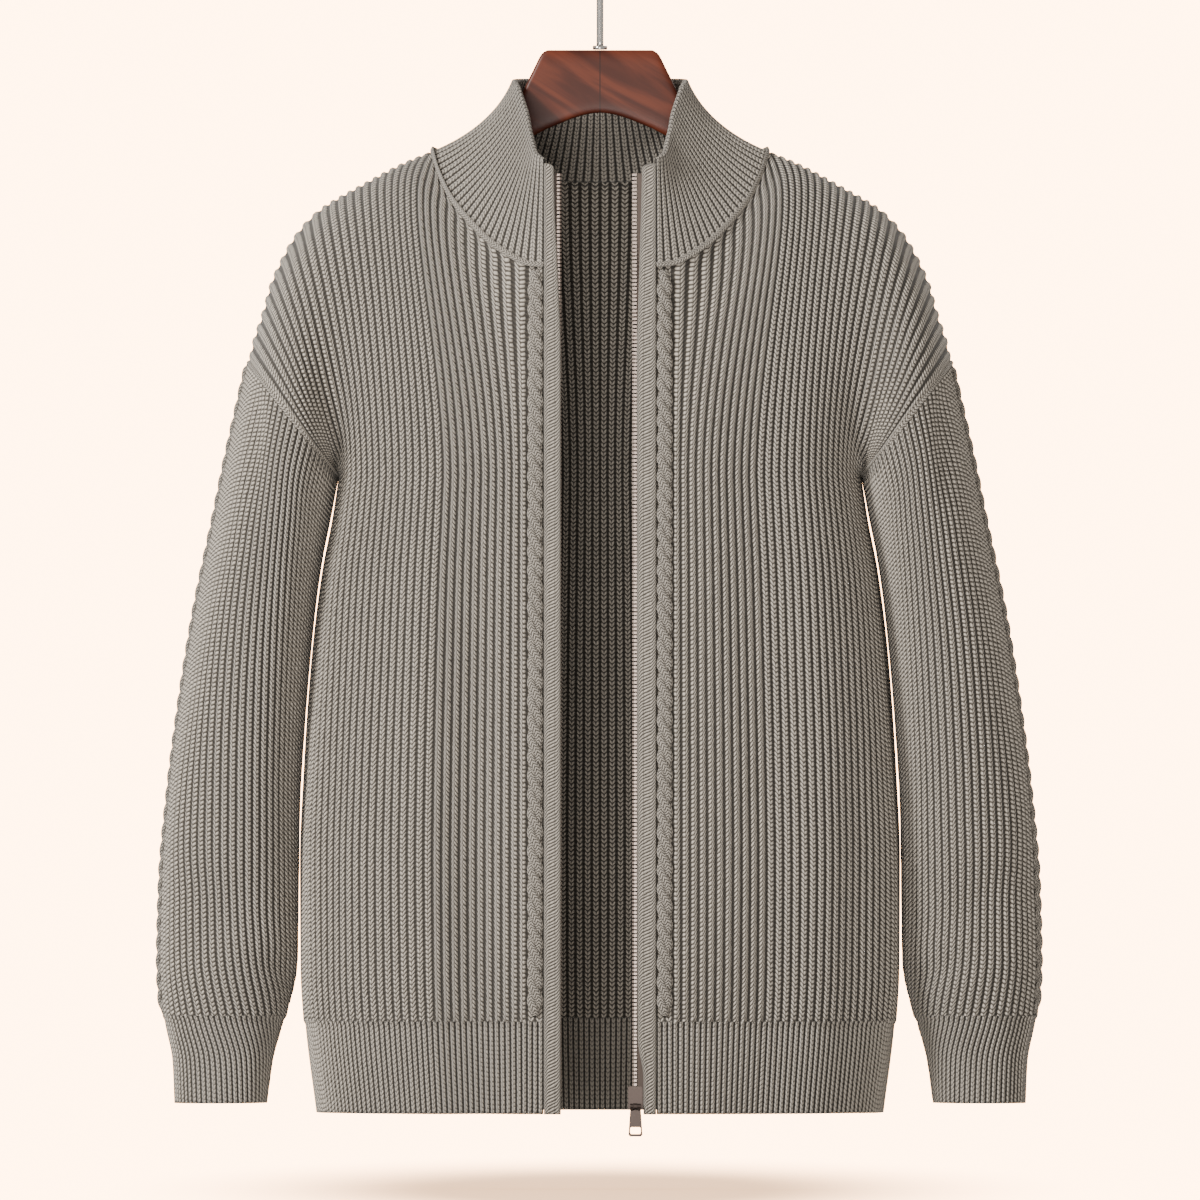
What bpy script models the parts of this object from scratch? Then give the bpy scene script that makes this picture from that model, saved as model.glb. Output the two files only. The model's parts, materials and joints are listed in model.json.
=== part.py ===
"""A men's zip-up cardigan in half-cardigan rib, open and hanging on a wooden hanger.

Metres, +Z up. The origin is the inner crown of the hanger's hook, the front faces -Y, and +X is the wearer's left.
Each cloth panel is a wall: an outer skin whose columns are the knitted ribs, and a plain inner skin.
"""
import functools
import math

import bmesh
import bpy
import numpy as np

# ---- Cloth ----
RIB_DEPTH = 0.0014  # from a rib's crest to the ditch beside it
WALL = 0.0030  # from a rib's crest to the plain inside
COLLAR_WALL = 0.0046  # the collar is doubled
GAP = 0.0003  # between pieces that are sewn together
SEAM_EASE = 0.0006  # more room at a seam's inner edge, where the columns are coarse

# ---- Body: half a section at each height, front and back ----
CHEST_Z = -0.390
HEM_RIB_Z = -0.7743
HEM_Z = -0.8395
HEM_STEP = 0.0012  # the hem and cuff ribs pull in by this much
SECTION_POWER = 3.0  # of the superellipse
BODY = {
    "z": (-0.390, -0.422, -0.455, -0.520, -0.600, -0.660, -0.740, -0.7743, -0.8395),
    "half_width": (0.1980, 0.2010, 0.2035, 0.2067, 0.2120, 0.2145, 0.2135, 0.2110, 0.2025),
    "front_depth": (0.098, 0.099, 0.100, 0.101, 0.102, 0.102, 0.100, 0.098, 0.094),
    "back_depth": (0.088, 0.089, 0.090, 0.091, 0.092, 0.092, 0.090, 0.088, 0.084),
    "side": (0.1850, 0.1900, 0.1965, 0.2045, 0.2100, 0.2125, 0.2120, 0.2100, 0.2020),
}

# ---- Neckline, from the cable to the shoulder, and shoulder ridge, from the neck to the armhole ----
NECK_HALF = 0.1193
NECK_FRONT_DEPTH = 0.0970
NECK_BACK_DEPTH = 0.0560
NECK_SIDE_Z = -0.1590
NECK_BACK_Z = -0.1800
NECK = {
    "x": (0.0380, 0.0517, 0.0648, 0.0772, 0.0924, 0.1062, 0.1154, 0.1193),
    "z": (-0.2420, -0.2405, -0.2340, -0.2255, -0.2104, -0.1927, -0.1728, -0.1590),
}
RIDGE = {
    "x": (0.1193, 0.1391, 0.1692, 0.1982, 0.2103, 0.2188, 0.2266, 0.2343, 0.2400, 0.2457, 0.2492),
    "z": (-0.1590, -0.1668, -0.1824, -0.1994, -0.2107, -0.2220, -0.2362, -0.2539, -0.2751, -0.2914, -0.3080),
}
SHOULDER_POINT_X = 0.1982
NECK_SPREAD = 0.024  # the panel leaves the neck's side outwards by this much

# ---- Armhole: an ellipse in a plane that leans out ----
ARMHOLE_TOP = np.array((0.2492, 0.0, -0.3080))
UNDERARM = np.array((0.1850, 0.0, -0.3900))
ARMHOLE_DEPTH = 0.086
ARMPIT_OUT = np.array((0.25, 0.0, -0.97))  # the way the seam's wall faces at the underarm

# ---- Sleeve: outer and inner edge of each section, and its half depth ----
SLEEVE = {
    "outer_x": (0.2492, 0.2552, 0.2648, 0.2733, 0.2867, 0.2970, 0.3051, 0.3108, 0.3122, 0.3100, 0.3041, 0.3027),
    "outer_z": (-0.308, -0.335, -0.378, -0.420, -0.484, -0.548, -0.611, -0.675, -0.732, -0.771, -0.803, -0.833),
    "inner_x": (0.1850, 0.1930, 0.1995, 0.2040, 0.2085, 0.2125, 0.2150, 0.2150, 0.2150, 0.2216, 0.2301, 0.2343),
    "inner_z": (-0.390, -0.420, -0.445, -0.475, -0.520, -0.570, -0.625, -0.680, -0.732, -0.771, -0.803, -0.833),
    "depth": (0.086, 0.0855, 0.084, 0.081, 0.075, 0.068, 0.060, 0.053, 0.047, 0.038, 0.032, 0.031),
}
SLEEVE_POWER = 2.2
CUFF_RIB = 9  # the row of the table where the cuff rib begins
CABLE_TURN = {"left": 14.0, "right": 4.0}  # how far each sleeve's cable has turned to the front, in degrees

# ---- Ribs and cables ----
NECK_RIBS, SHOULDER_RIBS, DROP_RIBS = 11, 13, 12  # of a front: under the neckline, to the shoulder point, to the armhole
BACK_NECK_RIBS = 20  # from the back's middle to the neck's side
SLEEVE_RIB = 0.0059
SLEEVE_LENGTH = 0.470  # of its cable, from the armhole to the cuff rib
RIB_EASE = 0.0015  # a rib this near the underarm's seam runs into it
COLLAR_RIBS = 36  # of half the collar
CABLE_WIDTH = 0.0115
CABLE_PITCH = 0.0132  # between crossings
CABLE_HIGH, CABLE_LOW = 0.0010, -0.0009  # over and under the ribs' crests

# ---- Opening, zip and bands: each side's edges from the middle ----
BAND_OUTER = 0.0396
BAND = {
    "z": (-0.8395, -0.8150, -0.7850, -0.3000, -0.2600, -0.2000, -0.1690),
    "right": (0.0276, 0.0276, 0.0276, 0.0276, 0.0290, 0.0318, 0.0325),
    "left": (0.0306, 0.0306, 0.0266, 0.0262, 0.0272, 0.0290, 0.0297),
}
BAND_PROUD, BAND_THICK = 0.0012, 0.0042
BAND_TOP_Z = -0.1690
TAPE_BACK = 0.0006  # the tape's face lies this far behind the teeth's
TAPE_THICK = 0.0007
TAPE_OUTER = 0.0392
TEETH_WIDTH, TEETH_THICK = 0.0032, 0.0024
TEETH_EDGE = {"right": 0.0272, "left": 0.0227}
ZIP_TOP_Z = -0.1760
COLLAR_TOP = {
    "x": (0.0, 0.0300, 0.0520, 0.0625, 0.0600, 0.0535, 0.0500, 0.0474, 0.0425, 0.0398),
    "y": (0.0480, 0.0430, 0.0280, 0.0060, -0.0160, -0.0360, -0.0530, -0.0680, -0.0770, -0.0795),
    "z": (-0.1090, -0.1090, -0.1085, -0.1090, -0.1135, -0.1310, -0.1490, -0.1610, -0.1655, -0.1670),
}
COLLAR_HOLLOW = 0.0075  # how far the collar's side curves in from a straight cone

# ---- Slider and pull tab, on the wearer's left ----
SLIDER_X, SLIDER_Z = 0.0250, -0.8277
SLIDER_SIZE = (0.0102, 0.0060, 0.0160)
SLIDER_PLATE = 0.0012
SLIDER_SPINE = 0.0017
LUG_WIDTH, LUG_RADIUS, LUG_BORE = 0.0030, 0.0021, 0.0010
PIVOT_OUT, PIVOT_Z = 0.0026, -0.8338  # of the pull tab's axis, out from the slider's front plate
PIN_RADIUS = 0.0009
EAR_GAP, EAR_WIDTH, EAR_RADIUS = 0.00025, 0.0020, 0.0019
TAB_TOP, TAB_LENGTH, TAB_THICK = 0.0027, 0.0212, 0.0015
TAB_HALF_TOP, TAB_HALF_FOOT = 0.0038, 0.0050
WINDOW_HALF, WINDOW_TOP, WINDOW_FOOT = 0.0037, 0.0146, 0.0194
PIN_FOOT = (0.0022, 0.0018, 0.0120)
BOX_SIZE = (0.0076, 0.0042, 0.0056)

# ---- Hanger ----
WOOD_TOP_Z = -0.0875
WOOD = {
    "x": (0.0, 0.0365, 0.0400, 0.0480, 0.0560, 0.0700, 0.0900, 0.1070, 0.1200, 0.1450, 0.1700, 0.1900, 0.2000, 0.2060),
    "top": (-0.0875, -0.0875, -0.0890, -0.1030, -0.1190, -0.1390, -0.1550, -0.1638, -0.1672, -0.1756, -0.1888,
            -0.2008, -0.2084, -0.2170),
    "foot": (-0.1321, -0.1430, -0.1448, -0.1491, -0.1545, -0.1640, -0.1770, -0.1870, -0.1930, -0.2030, -0.2110,
             -0.2190, -0.2225, -0.2240),
    "half_thick": (0.0070, 0.0070, 0.0070, 0.0070, 0.0072, 0.0078, 0.0086, 0.0094, 0.0100, 0.0105, 0.0105, 0.0100,
                   0.0085, 0.0045),
}
HOOK_WIRE = 0.0025
HOOK_ARC = 0.0220  # radius of the wire's middle
HOOK_FILLET = 0.0120
HOOK_END_ANGLE = 200.0
FERRULE_RADIUS, FERRULE_HEIGHT = 0.0052, 0.0030

SIDES = {"left": 1.0, "right": -1.0}
PALETTE = {
    "knit": ((0.33, 0.32, 0.26), 0.95, 0.0),
    "band": ((0.37, 0.36, 0.30), 0.95, 0.0),
    "tape": ((0.20, 0.13, 0.12), 0.9, 0.0),
    "zip_metal": ((0.36, 0.30, 0.28), 0.35, 0.9),
    "hanger_wood": ((0.22, 0.04, 0.015), 0.3, 0.0),
    "steel": ((0.6, 0.6, 0.6), 0.25, 1.0),
}


def clear_scene():
    for thing in list(bpy.data.objects):
        bpy.data.objects.remove(thing, do_unlink=True)


def material(slot, name):
    """Each sub-part has a material of its own, in its slot's colour."""
    colour, roughness, metallic = PALETTE[slot]
    made = bpy.data.materials.new(name + "_" + slot)
    made.use_nodes = True
    shader = made.node_tree.nodes["Principled BSDF"]
    shader.inputs["Base Color"].default_value = (*colour, 1.0)
    shader.inputs["Roughness"].default_value = roughness
    shader.inputs["Metallic"].default_value = metallic
    return made


def add_solid(name, points, faces, slot):
    """One closed solid with its faces turned outwards."""
    mesh = bpy.data.meshes.new(name)
    mesh.from_pydata([tuple(map(float, p)) for p in points], [], faces)
    shape = bmesh.new()
    shape.from_mesh(mesh)
    bmesh.ops.recalc_face_normals(shape, faces=shape.faces)
    if shape.calc_volume(signed=True) < 0.0:
        bmesh.ops.reverse_faces(shape, faces=shape.faces)
    shape.to_mesh(mesh)
    shape.free()
    mesh.materials.append(material(slot, name))
    solid = bpy.data.objects.new(name, mesh)
    bpy.context.scene.collection.objects.link(solid)
    return solid


# ---- Curves and surfaces ----
def unit(v):
    return v / np.linalg.norm(v)


def smoothstep(t):
    t = np.clip(t, 0.0, 1.0)
    return t * t * (3.0 - 2.0 * t)


def smooth_table(x, xs, ys):
    """Monotone cubic through a table's rows, which never overshoots them."""
    xs, ys = np.asarray(xs, float), np.asarray(ys, float)
    if xs[0] > xs[-1]:
        xs, ys = xs[::-1], ys[::-1]
    step = np.diff(xs)
    slope = np.diff(ys) / step
    bend = np.zeros_like(ys)
    same = slope[1:] * slope[:-1] > 0.0
    weights = (step[1:] * 2 + step[:-1], step[1:] + step[:-1] * 2)
    safe = np.where(same, slope[:-1], 1.0), np.where(same, slope[1:], 1.0)
    bend[1:-1] = np.where(same, (weights[0] + weights[1]) / (weights[0] / safe[0] + weights[1] / safe[1]), 0.0)
    bend[0], bend[-1] = slope[0], slope[-1]
    x = np.clip(x, xs[0], xs[-1])
    i = np.clip(np.searchsorted(xs, x) - 1, 0, len(xs) - 2)
    t = (x - xs[i]) / step[i]
    low = ys[i] * (1 + 2 * t) * (1 - t) ** 2 + bend[i] * step[i] * t * (1 - t) ** 2
    return low + ys[i + 1] * t * t * (3 - 2 * t) + bend[i + 1] * step[i] * t * t * (t - 1)


def along(curve, share):
    """The point at a share of a dense curve's length."""
    length = np.concatenate(([0.0], np.cumsum(np.linalg.norm(np.diff(curve, axis=0), axis=1))))
    return np.array([np.interp(share * length[-1], length, curve[:, k]) for k in range(3)])


def body_value(name, z):
    return float(smooth_table(z, BODY["z"], BODY[name]))


@functools.lru_cache(maxsize=None)
def body_half(z, face, steps=160):
    """Half a body section, from its middle to its side seam, as a dense curve."""
    width, side = body_value("half_width", z), body_value("side", z)
    depth = body_value(face + "_depth", z)
    turn = np.linspace(0.0, math.pi / 2, steps)
    x = width * np.sin(turn) ** (2.0 / SECTION_POWER)
    y = depth * np.cos(turn) ** (2.0 / SECTION_POWER)
    x = x - (width - side) * np.exp(-((y / (0.7 * depth)) ** 2)) * (x / width)
    sign = -1.0 if face == "front" else 1.0
    return np.column_stack((x, sign * y, np.full(steps, z)))


def body_point(z, face, start_x, share):
    """A point at a share of the way from start_x to the side seam."""
    curve = body_half(z, face)
    first = np.array([np.interp(start_x, curve[:, 0], curve[:, k]) for k in range(3)])
    return along(np.vstack((first, curve[curve[:, 0] > start_x + 1e-6])), share)


def neck_point(x, face):
    """The neckline's seam, at a distance x from the middle."""
    ratio = min(x / NECK_HALF, 1.0)
    if face == "front":
        return np.array((x, -NECK_FRONT_DEPTH * math.sqrt(1 - ratio**2), smooth_table(x, NECK["x"], NECK["z"])))
    z = NECK_BACK_Z + (NECK_SIDE_Z - NECK_BACK_Z) * ratio**2.5
    return np.array((x, NECK_BACK_DEPTH * math.sqrt(1 - ratio**2), z))


def ridge_point(share_to_shoulder=None, share_to_armhole=None):
    """The shoulder's ridge, by length, in its stretch to the shoulder point or the one past it."""
    x = np.array(RIDGE["x"])
    fine = np.linspace(0, len(x) - 1, 200)
    knots = np.arange(len(x))
    curve = np.column_stack((smooth_table(fine, knots, x), np.zeros(200), smooth_table(fine, knots, RIDGE["z"])))
    split = int(np.searchsorted(curve[:, 0], SHOULDER_POINT_X))
    if share_to_shoulder is not None:
        return along(curve[: split + 1], share_to_shoulder)
    return along(curve[split:], share_to_armhole)


def rib_marks(face):
    """Where along a panel the neckline ends and the shoulder point lies, and where its columns start."""
    if face == "front":
        ribs, start = NECK_RIBS, BAND_OUTER + GAP + CABLE_WIDTH
    else:
        ribs, start = BACK_NECK_RIBS, 0.0
    total = ribs + SHOULDER_RIBS + DROP_RIBS
    return ribs / total, (ribs + SHOULDER_RIBS) / total, start, total


@functools.lru_cache(maxsize=None)
def neck_line(face):
    """The neckline's seam from the panel's first column to the shoulder, and each point's share of its length."""
    start = rib_marks(face)[2]
    turns = np.linspace(math.asin(start / NECK_HALF), math.pi / 2, 90)
    curve = np.array([neck_point(NECK_HALF * math.sin(a), face) for a in turns])
    length = np.concatenate(([0.0], np.cumsum(np.linalg.norm(np.diff(curve, axis=0), axis=1))))
    return curve, length / length[-1]


def panel_top(u, face):
    neck, shoulder, _, _ = rib_marks(face)
    if u <= neck:
        curve, shares = neck_line(face)
        return np.array([np.interp(u / neck, shares, curve[:, k]) for k in range(3)])
    if u <= shoulder:
        return ridge_point(share_to_shoulder=(u - neck) / (shoulder - neck))
    return ridge_point(share_to_armhole=(u - shoulder) / (1 - shoulder))


# Soft hollows of each front's cloth: across and down in panel units, their half-spans, and their depth.
FRONT_HOLLOWS = {
    "left": {
        "across": (0.76, 0.34, 0.62),
        "down": (0.72, 1.50, 1.66),
        "half_across": (0.055, 0.10, 0.09),
        "half_down": (0.26, 0.42, 0.30),
        "depth": (0.0065, 0.0030, 0.0035),
    },
    "right": {
        "across": (0.78, 0.17, 0.50),
        "down": (0.68, 1.56, 1.30),
        "half_across": (0.060, 0.11, 0.10),
        "half_down": (0.24, 0.42, 0.35),
        "depth": (0.0060, 0.0048, 0.0025),
    },
}


def hollow(u, v, table):
    rows = zip(table["across"], table["down"], table["half_across"], table["half_down"], table["depth"])
    return sum(d * math.exp(-(((u - a) / wa) ** 2) - ((v - b) / wb) ** 2) for a, b, wa, wb, d in rows)


def panel_point(u, v, face):
    """A front or back panel's crest surface: v runs 0 to 1 down to the chest, and 1 to 2 down to the hem.

    u below 0 is the cable's strip, in metres from the first rib.
    """
    neck, shoulder, start, _ = rib_marks(face)
    sign = -1.0 if face == "front" else 1.0
    if v > 1.0:
        z = CHEST_Z + (HEM_Z - CHEST_Z) * (v - 1.0)
        if u < 0:
            return body_point(z, face, start + u, 0.0)
        return body_point(z, face, start, u)
    if u < 0:
        top, foot = neck_point(start + u, face), body_point(CHEST_Z, face, start + u, 0.0)
    else:
        top, foot = panel_top(u, face), body_point(CHEST_Z, face, start, u)
    drop = foot - top
    length = np.linalg.norm(drop)
    round_arm = np.array((0.0, sign * 4.0 / 3.0 * ARMHOLE_DEPTH, 0.0))
    at_neck = smoothstep(max(u, 0.0) / neck)
    leave = np.array((0.0, drop[1] * (0.35 + 0.42 * at_neck), drop[2] * (0.33 - 0.27 * at_neck)))
    past = smoothstep((u - neck) / (1.0 - neck))
    leave = leave * (1 - past) + round_arm * past
    leave[0] += NECK_SPREAD * math.exp(-(((u - neck) / 0.12) ** 2))
    side = smoothstep((u - shoulder) / (1.0 - shoulder))
    arrive = np.array((0.0, 0.0, 0.38 * length)) * (1 - side) + round_arm * side
    s = 1.0 - v
    return top * (s**3 + 3 * s * s * v) + leave * 3 * s * s * v + arrive * 3 * s * v * v + foot * (3 * s * v * v + v**3)


def armhole_cos(point):
    """1 at the armhole's top, -1 at the underarm."""
    lean = ARMHOLE_TOP - UNDERARM
    return float(np.clip(np.dot(point - (ARMHOLE_TOP + UNDERARM) / 2, lean) * 2 / np.dot(lean, lean), -1, 1))


def armhole_out(point):
    """The way the wall faces along the armhole's seam."""
    lean, cos = unit(ARMHOLE_TOP - UNDERARM), armhole_cos(point)
    half = np.linalg.norm(ARMHOLE_TOP - UNDERARM) / 2
    flat = unit(lean * cos / half + np.array((0.0, point[1] / ARMHOLE_DEPTH**2, 0.0)))
    return unit(flat + ((1 - cos) / 2) ** 4 * (ARMPIT_OUT + lean))


def armhole_ease(point, inner):
    """How many times half the gap a point at the armhole's seam keeps, more inside and near the underarm."""
    return 1 + inner * SEAM_EASE / GAP + 4.5 * ((1 - armhole_cos(point)) / 2) ** 2


def surface_normal(surface, u, v, low, high, step=0.004):
    du = (surface(min(u + step, high), v) - surface(max(u - step, low), v))
    dv = (surface(u, min(v + step, 2.0)) - surface(u, max(v - step, 0.0)))
    return unit(np.cross(du, dv))


def panel_facing(u, v, face):
    def surface(a, b):
        return panel_point(a, b, face)

    point = surface(u, v)
    facing = surface_normal(surface, u, v, 0.0 if u >= 0 else -CABLE_WIDTH, 1.0)
    middle = 1.0 if u >= 0.5 or face == "front" else 0.0
    return facing if np.dot(facing, (point[0] * middle, point[1], 0.12)) > 0 else -facing


def panel_frame(u, v, face, side=""):
    """A panel's point and the way it faces, set straight where two pieces are sewn together."""
    point = panel_point(u, v, face)
    neck, _, _, _ = rib_marks(face)
    if u >= 1.0 and v <= 1.0:
        facing = armhole_out(point)
    elif v <= 0.0 and u <= neck:
        facing = seam_facing(float(point[0]), face)
    else:
        facing = panel_facing(u, v, face)
        if (u >= 1.0) or (v <= 0.0 and u >= neck):
            facing = unit(facing * (1.0, 0.0, 1.0))
        if u <= 0.0:
            facing = unit(facing * (1 + u / CABLE_WIDTH if face == "front" else 0.0, 1.0, 1.0))
    if side and 0 < u < 1:
        point = point - facing * hollow(u, v, FRONT_HOLLOWS[side])
    return point, facing


def seam_shift(tangent, facing, towards):
    """A step of half the gap, across a seam and along its wall."""
    across = unit(np.cross(tangent, facing))
    return across * (GAP / 2) * (1.0 if np.dot(across, towards) > 0 else -1.0)


# ---- Walls from columns ----
def zip_columns(first, second):
    """Triangles between two columns of (place, vertex) pairs, whatever their counts."""
    faces, i, j = [], 0, 0
    while i < len(first) - 1 or j < len(second) - 1:
        last = j == len(second) - 1
        nearer = not last and i < len(first) - 1 and (
            first[i][0] + first[i + 1][0] <= second[j][0] + second[j + 1][0])
        if last or nearer:
            faces.append((first[i][1], first[i + 1][1], second[j][1]))
            i += 1
        else:
            faces.append((first[i][1], second[j + 1][1], second[j][1]))
            j += 1
    return [f for f in faces if len(set(f)) == 3]


def wall(name, outer, inner, slot, mirror):
    """A closed wall between two skins. A skin is a list of (across, [downs], [points]).

    across is a column's place along both rims, or a pair where its places at the top and the foot differ.
    """
    points, known = [], {}

    def vertex(p):
        key = tuple(round(float(c), 7) for c in p)
        if key not in known:
            known[key] = len(points)
            points.append((key[0] * mirror, key[1], key[2]))
        return known[key]

    faces, skins = [], []
    for skin in (outer, inner):
        columns = [[(down, vertex(p)) for down, p in zip(downs, row)] for _, downs, row in skin]
        skins.append(columns)
        for first, second in zip(columns, columns[1:]):
            faces += zip_columns(first, second)
    for end in (0, -1):
        rims = [[(np.ravel(column[0])[end], ids[end][1]) for column, ids in zip(skin, columns)]
                for skin, columns in zip((outer, inner), skins)]
        faces += zip_columns(*rims)
    closed = [i for _, i in skins[0][0]] == [i for _, i in skins[0][-1]]
    if not closed:
        for side in (0, -1):
            faces += zip_columns(skins[0][side], skins[1][side])
    return add_solid(name, points, faces, slot)


def keep_side(point, face):
    """Front and back stay half a gap from the plane of their seams."""
    limit = GAP / 2
    y = min(point[1], -limit) if face == "front" else max(point[1], limit)
    return np.array((point[0], y, point[2]))


def hem_step(v):
    """The hem rib pulls in, just below its first row."""
    start = 1.0 + (HEM_RIB_Z - CHEST_Z) / (HEM_Z - CHEST_Z)
    return HEM_STEP * smoothstep((v - start) / 0.008)


def panel_column(u, rows, face, depth, inner=False, side=""):
    """One column of a panel, depth under the crest surface. The armhole's has more rows."""
    neck, _, _, _ = rib_marks(face)
    if u > 0.88:
        rows = (ARMHOLE_ROWS if u >= 1.0 else NEAR_ARMHOLE_ROWS) + tuple(v for v in rows if v > 1.0)
    points = []
    for v in rows:
        point, facing = panel_frame(u, v, face, side)
        if u >= 1.0 and v <= 1.0:
            lean = ARMHOLE_TOP - UNDERARM
            plane = np.cross(lean, (0.0, 1.0, 0.0))
            plane = plane if plane[0] > 0 else -plane
            tangent = panel_point(1.0, min(v + 0.01, 1.0), face) - panel_point(1.0, max(v - 0.01, 0.0), face)
            point = point + seam_shift(tangent, facing, -plane) * armhole_ease(point, inner)
        if v <= 0.0 and u <= neck:
            back_step = 0.01 if u > 0.01 else 0.0
            tangent = panel_point(u - back_step + 0.01, 0.0, face) - panel_point(u - back_step, 0.0, face)
            shift = seam_shift(tangent, facing, (point[0], point[1], -0.1))
            point = point + shift * (1 + inner * SEAM_EASE / GAP)
        point = point - facing * (depth + hem_step(v))
        points.append(keep_side(point, face))
    return list(rows), points


def cable_rows(top_v, foot_v, length, phase, rows_near):
    """Places down a cable's strand, and its height at each: high at a crossing and low between."""
    downs, heights = [rows_near[0]], [-0.0004]
    count = int(length / (CABLE_PITCH / 2))
    for k in range(1, count):
        downs.append(top_v(k * CABLE_PITCH / 2))
        heights.append(CABLE_HIGH if (k + phase) % 2 else CABLE_LOW)
    downs.append(foot_v)
    heights.append(-0.0004)
    downs.append(rows_near[1])
    heights.append(-0.0004)
    return downs, heights


PANEL_ROWS = (0.0, 0.18, 0.42, 1.0, 1.30, 1.60, 1.855, 1.864, 2.0)
BACK_ROWS = (0.0, 0.20, 0.55, 1.0, 1.40, 1.855, 1.864, 2.0)
ARMHOLE_ROWS = tuple(np.linspace(0.0, 1.0, 25))
NEAR_ARMHOLE_ROWS = tuple(np.linspace(0.0, 1.0, 9))


def inner_places(face):
    neck = rib_marks(face)[0]
    return np.concatenate((np.linspace(0.0, neck, 9), np.linspace(neck, 1.0, 11)[1:]))


def front_cable(side):
    """The cable's strip beside the opening: two strands that cross, between the band and the first rib."""
    foot_v = 1.0 + (HEM_RIB_Z + 0.004 - CHEST_Z) / (HEM_Z - CHEST_Z)
    top_z = neck_point(BAND_OUTER + GAP + CABLE_WIDTH, "front")[2]

    def down_at(distance):
        z = top_z - distance
        if z < CHEST_Z:
            return 1.0 + (z - CHEST_Z) / (HEM_Z - CHEST_Z)
        fine = np.linspace(0, 1, 60)
        heights = [panel_point(-CABLE_WIDTH / 2, v, "front")[2] for v in fine]
        return float(np.interp(-z, -np.array(heights), fine))

    columns = []
    length = top_z - (HEM_RIB_Z + 0.004)
    for number, across in enumerate((CABLE_WIDTH * 0.70, CABLE_WIDTH * 0.30)):
        phase = number if side == "left" else 1 - number
        downs, heights = cable_rows(down_at, foot_v, length, phase, (0.0, 2.0))
        row = []
        for v, height in zip(downs, heights):
            point, facing = panel_frame(-across, v, "front")
            if v <= 0.0:
                point = point - (0.0, 0.0, GAP / 2)
            row.append(keep_side(point + facing * (height - hem_step(v)), "front"))
        columns.append((-across / CABLE_WIDTH * 0.05, downs, row))
    return columns


def build_front(side):
    _, _, _, total = rib_marks("front")
    outer = []
    edge = panel_column(-CABLE_WIDTH + 1e-6, PANEL_ROWS, "front", RIB_DEPTH)
    outer.append((-0.05, *edge))
    outer += front_cable(side)
    for k in range(2 * total + 1):
        u = k / (2 * total)
        outer.append((u, *panel_column(u, PANEL_ROWS, "front", RIB_DEPTH if k % 2 == 0 else 0.0, side=side)))
    inner = [(-0.05, *panel_column(-CABLE_WIDTH + 1e-6, PANEL_ROWS, "front", WALL, True))]
    inner += [(u, *panel_column(u, PANEL_ROWS, "front", WALL, True, side)) for u in inner_places("front")]
    wall("front_" + side, outer, inner, "knit", SIDES[side])


def mirror_columns(columns):
    """A half's columns and their mirror image, from one side seam to the other."""
    image = [(-across, downs, [p * (-1.0, 1.0, 1.0) for p in row]) for across, downs, row in columns[:0:-1]]
    return image + columns


def build_back():
    _, _, _, total = rib_marks("back")
    outer = []
    for k in range(2 * total + 1):
        u = k / (2 * total)
        outer.append((u, *panel_column(u, BACK_ROWS, "back", RIB_DEPTH if k % 2 == 0 else 0.0)))
    inner = [(u, *panel_column(u, BACK_ROWS, "back", WALL, True)) for u in inner_places("back")]
    wall("back", mirror_columns(outer), mirror_columns(inner), "knit", 1.0)


# ---- Sleeves ----
@functools.lru_cache(maxsize=None)
def sleeve_section(v, turn, steps=361):
    """One section round, from the underarm by the back to the cable, then by the front to the underarm."""
    rows = np.arange(len(SLEEVE["depth"]))
    spot = v * (len(rows) - 1)
    ox, oz, ix, iz, depth = (float(smooth_table(spot, rows, SLEEVE[name]))
                             for name in ("outer_x", "outer_z", "inner_x", "inner_z", "depth"))
    middle = np.array(((ox + ix) / 2, 0.0, (oz + iz) / 2))
    half = np.array(((ox - ix) / 2, 0.0, (oz - iz) / 2))
    angle = np.linspace(-math.pi, math.pi, steps)
    if v <= 0.0:
        cos = np.cos(angle)
        place = 0.5 - np.sin(np.arcsin(np.clip(cos, -1, 1)) / 3)
        sin = np.sign(np.sin(angle)) * 4 * place * (1 - place)
    else:
        power = 2.0 / SLEEVE_POWER
        cos = np.sign(np.cos(angle)) * np.abs(np.cos(angle)) ** power
        sin = np.sign(np.sin(angle)) * np.abs(np.sin(angle)) ** power
    curve = middle + np.outer(cos, half) - np.outer(sin, (0.0, depth, 0.0))
    length = np.concatenate(([0.0], np.cumsum(np.linalg.norm(np.diff(curve, axis=0), axis=1))))
    start = np.interp(math.radians(turn), angle, length)
    return curve, length - start


def sleeve_frame(v, s, turn):
    """A point at a distance s from the cable's middle, to the front, and the way the sleeve faces there."""
    curve, length = sleeve_section(v, turn)
    s = float(np.clip(s, length[0], length[-1]))

    def at(c, l, t):
        return np.array([np.interp(t, l, c[:, k]) for k in range(3)])

    point = at(curve, length, s)
    if v <= 0.0:
        return point, armhole_out(point)
    step = 0.012
    c0, l0 = sleeve_section(max(v - step, 0.0), turn)
    c1, l1 = sleeve_section(min(v + step, 1.0), turn)
    share = (s - length[0]) / (length[-1] - length[0])
    down = at(c1, l1, l1[0] + share * (l1[-1] - l1[0])) - at(c0, l0, l0[0] + share * (l0[-1] - l0[0]))
    span = length[-1] - length[0]
    ahead, behind = s + 0.002, s - 0.002
    if ahead > length[-1] or behind < length[0]:
        round_ = at(curve, length, length[0] + 0.002) - at(curve, length, length[-1] - 0.002)
    else:
        round_ = at(curve, length, ahead) - at(curve, length, behind)
    facing = unit(np.cross(round_, down))
    middle = curve.mean(axis=0)
    facing = facing if np.dot(facing, point - middle) > 0 else -facing
    return point, facing


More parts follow.
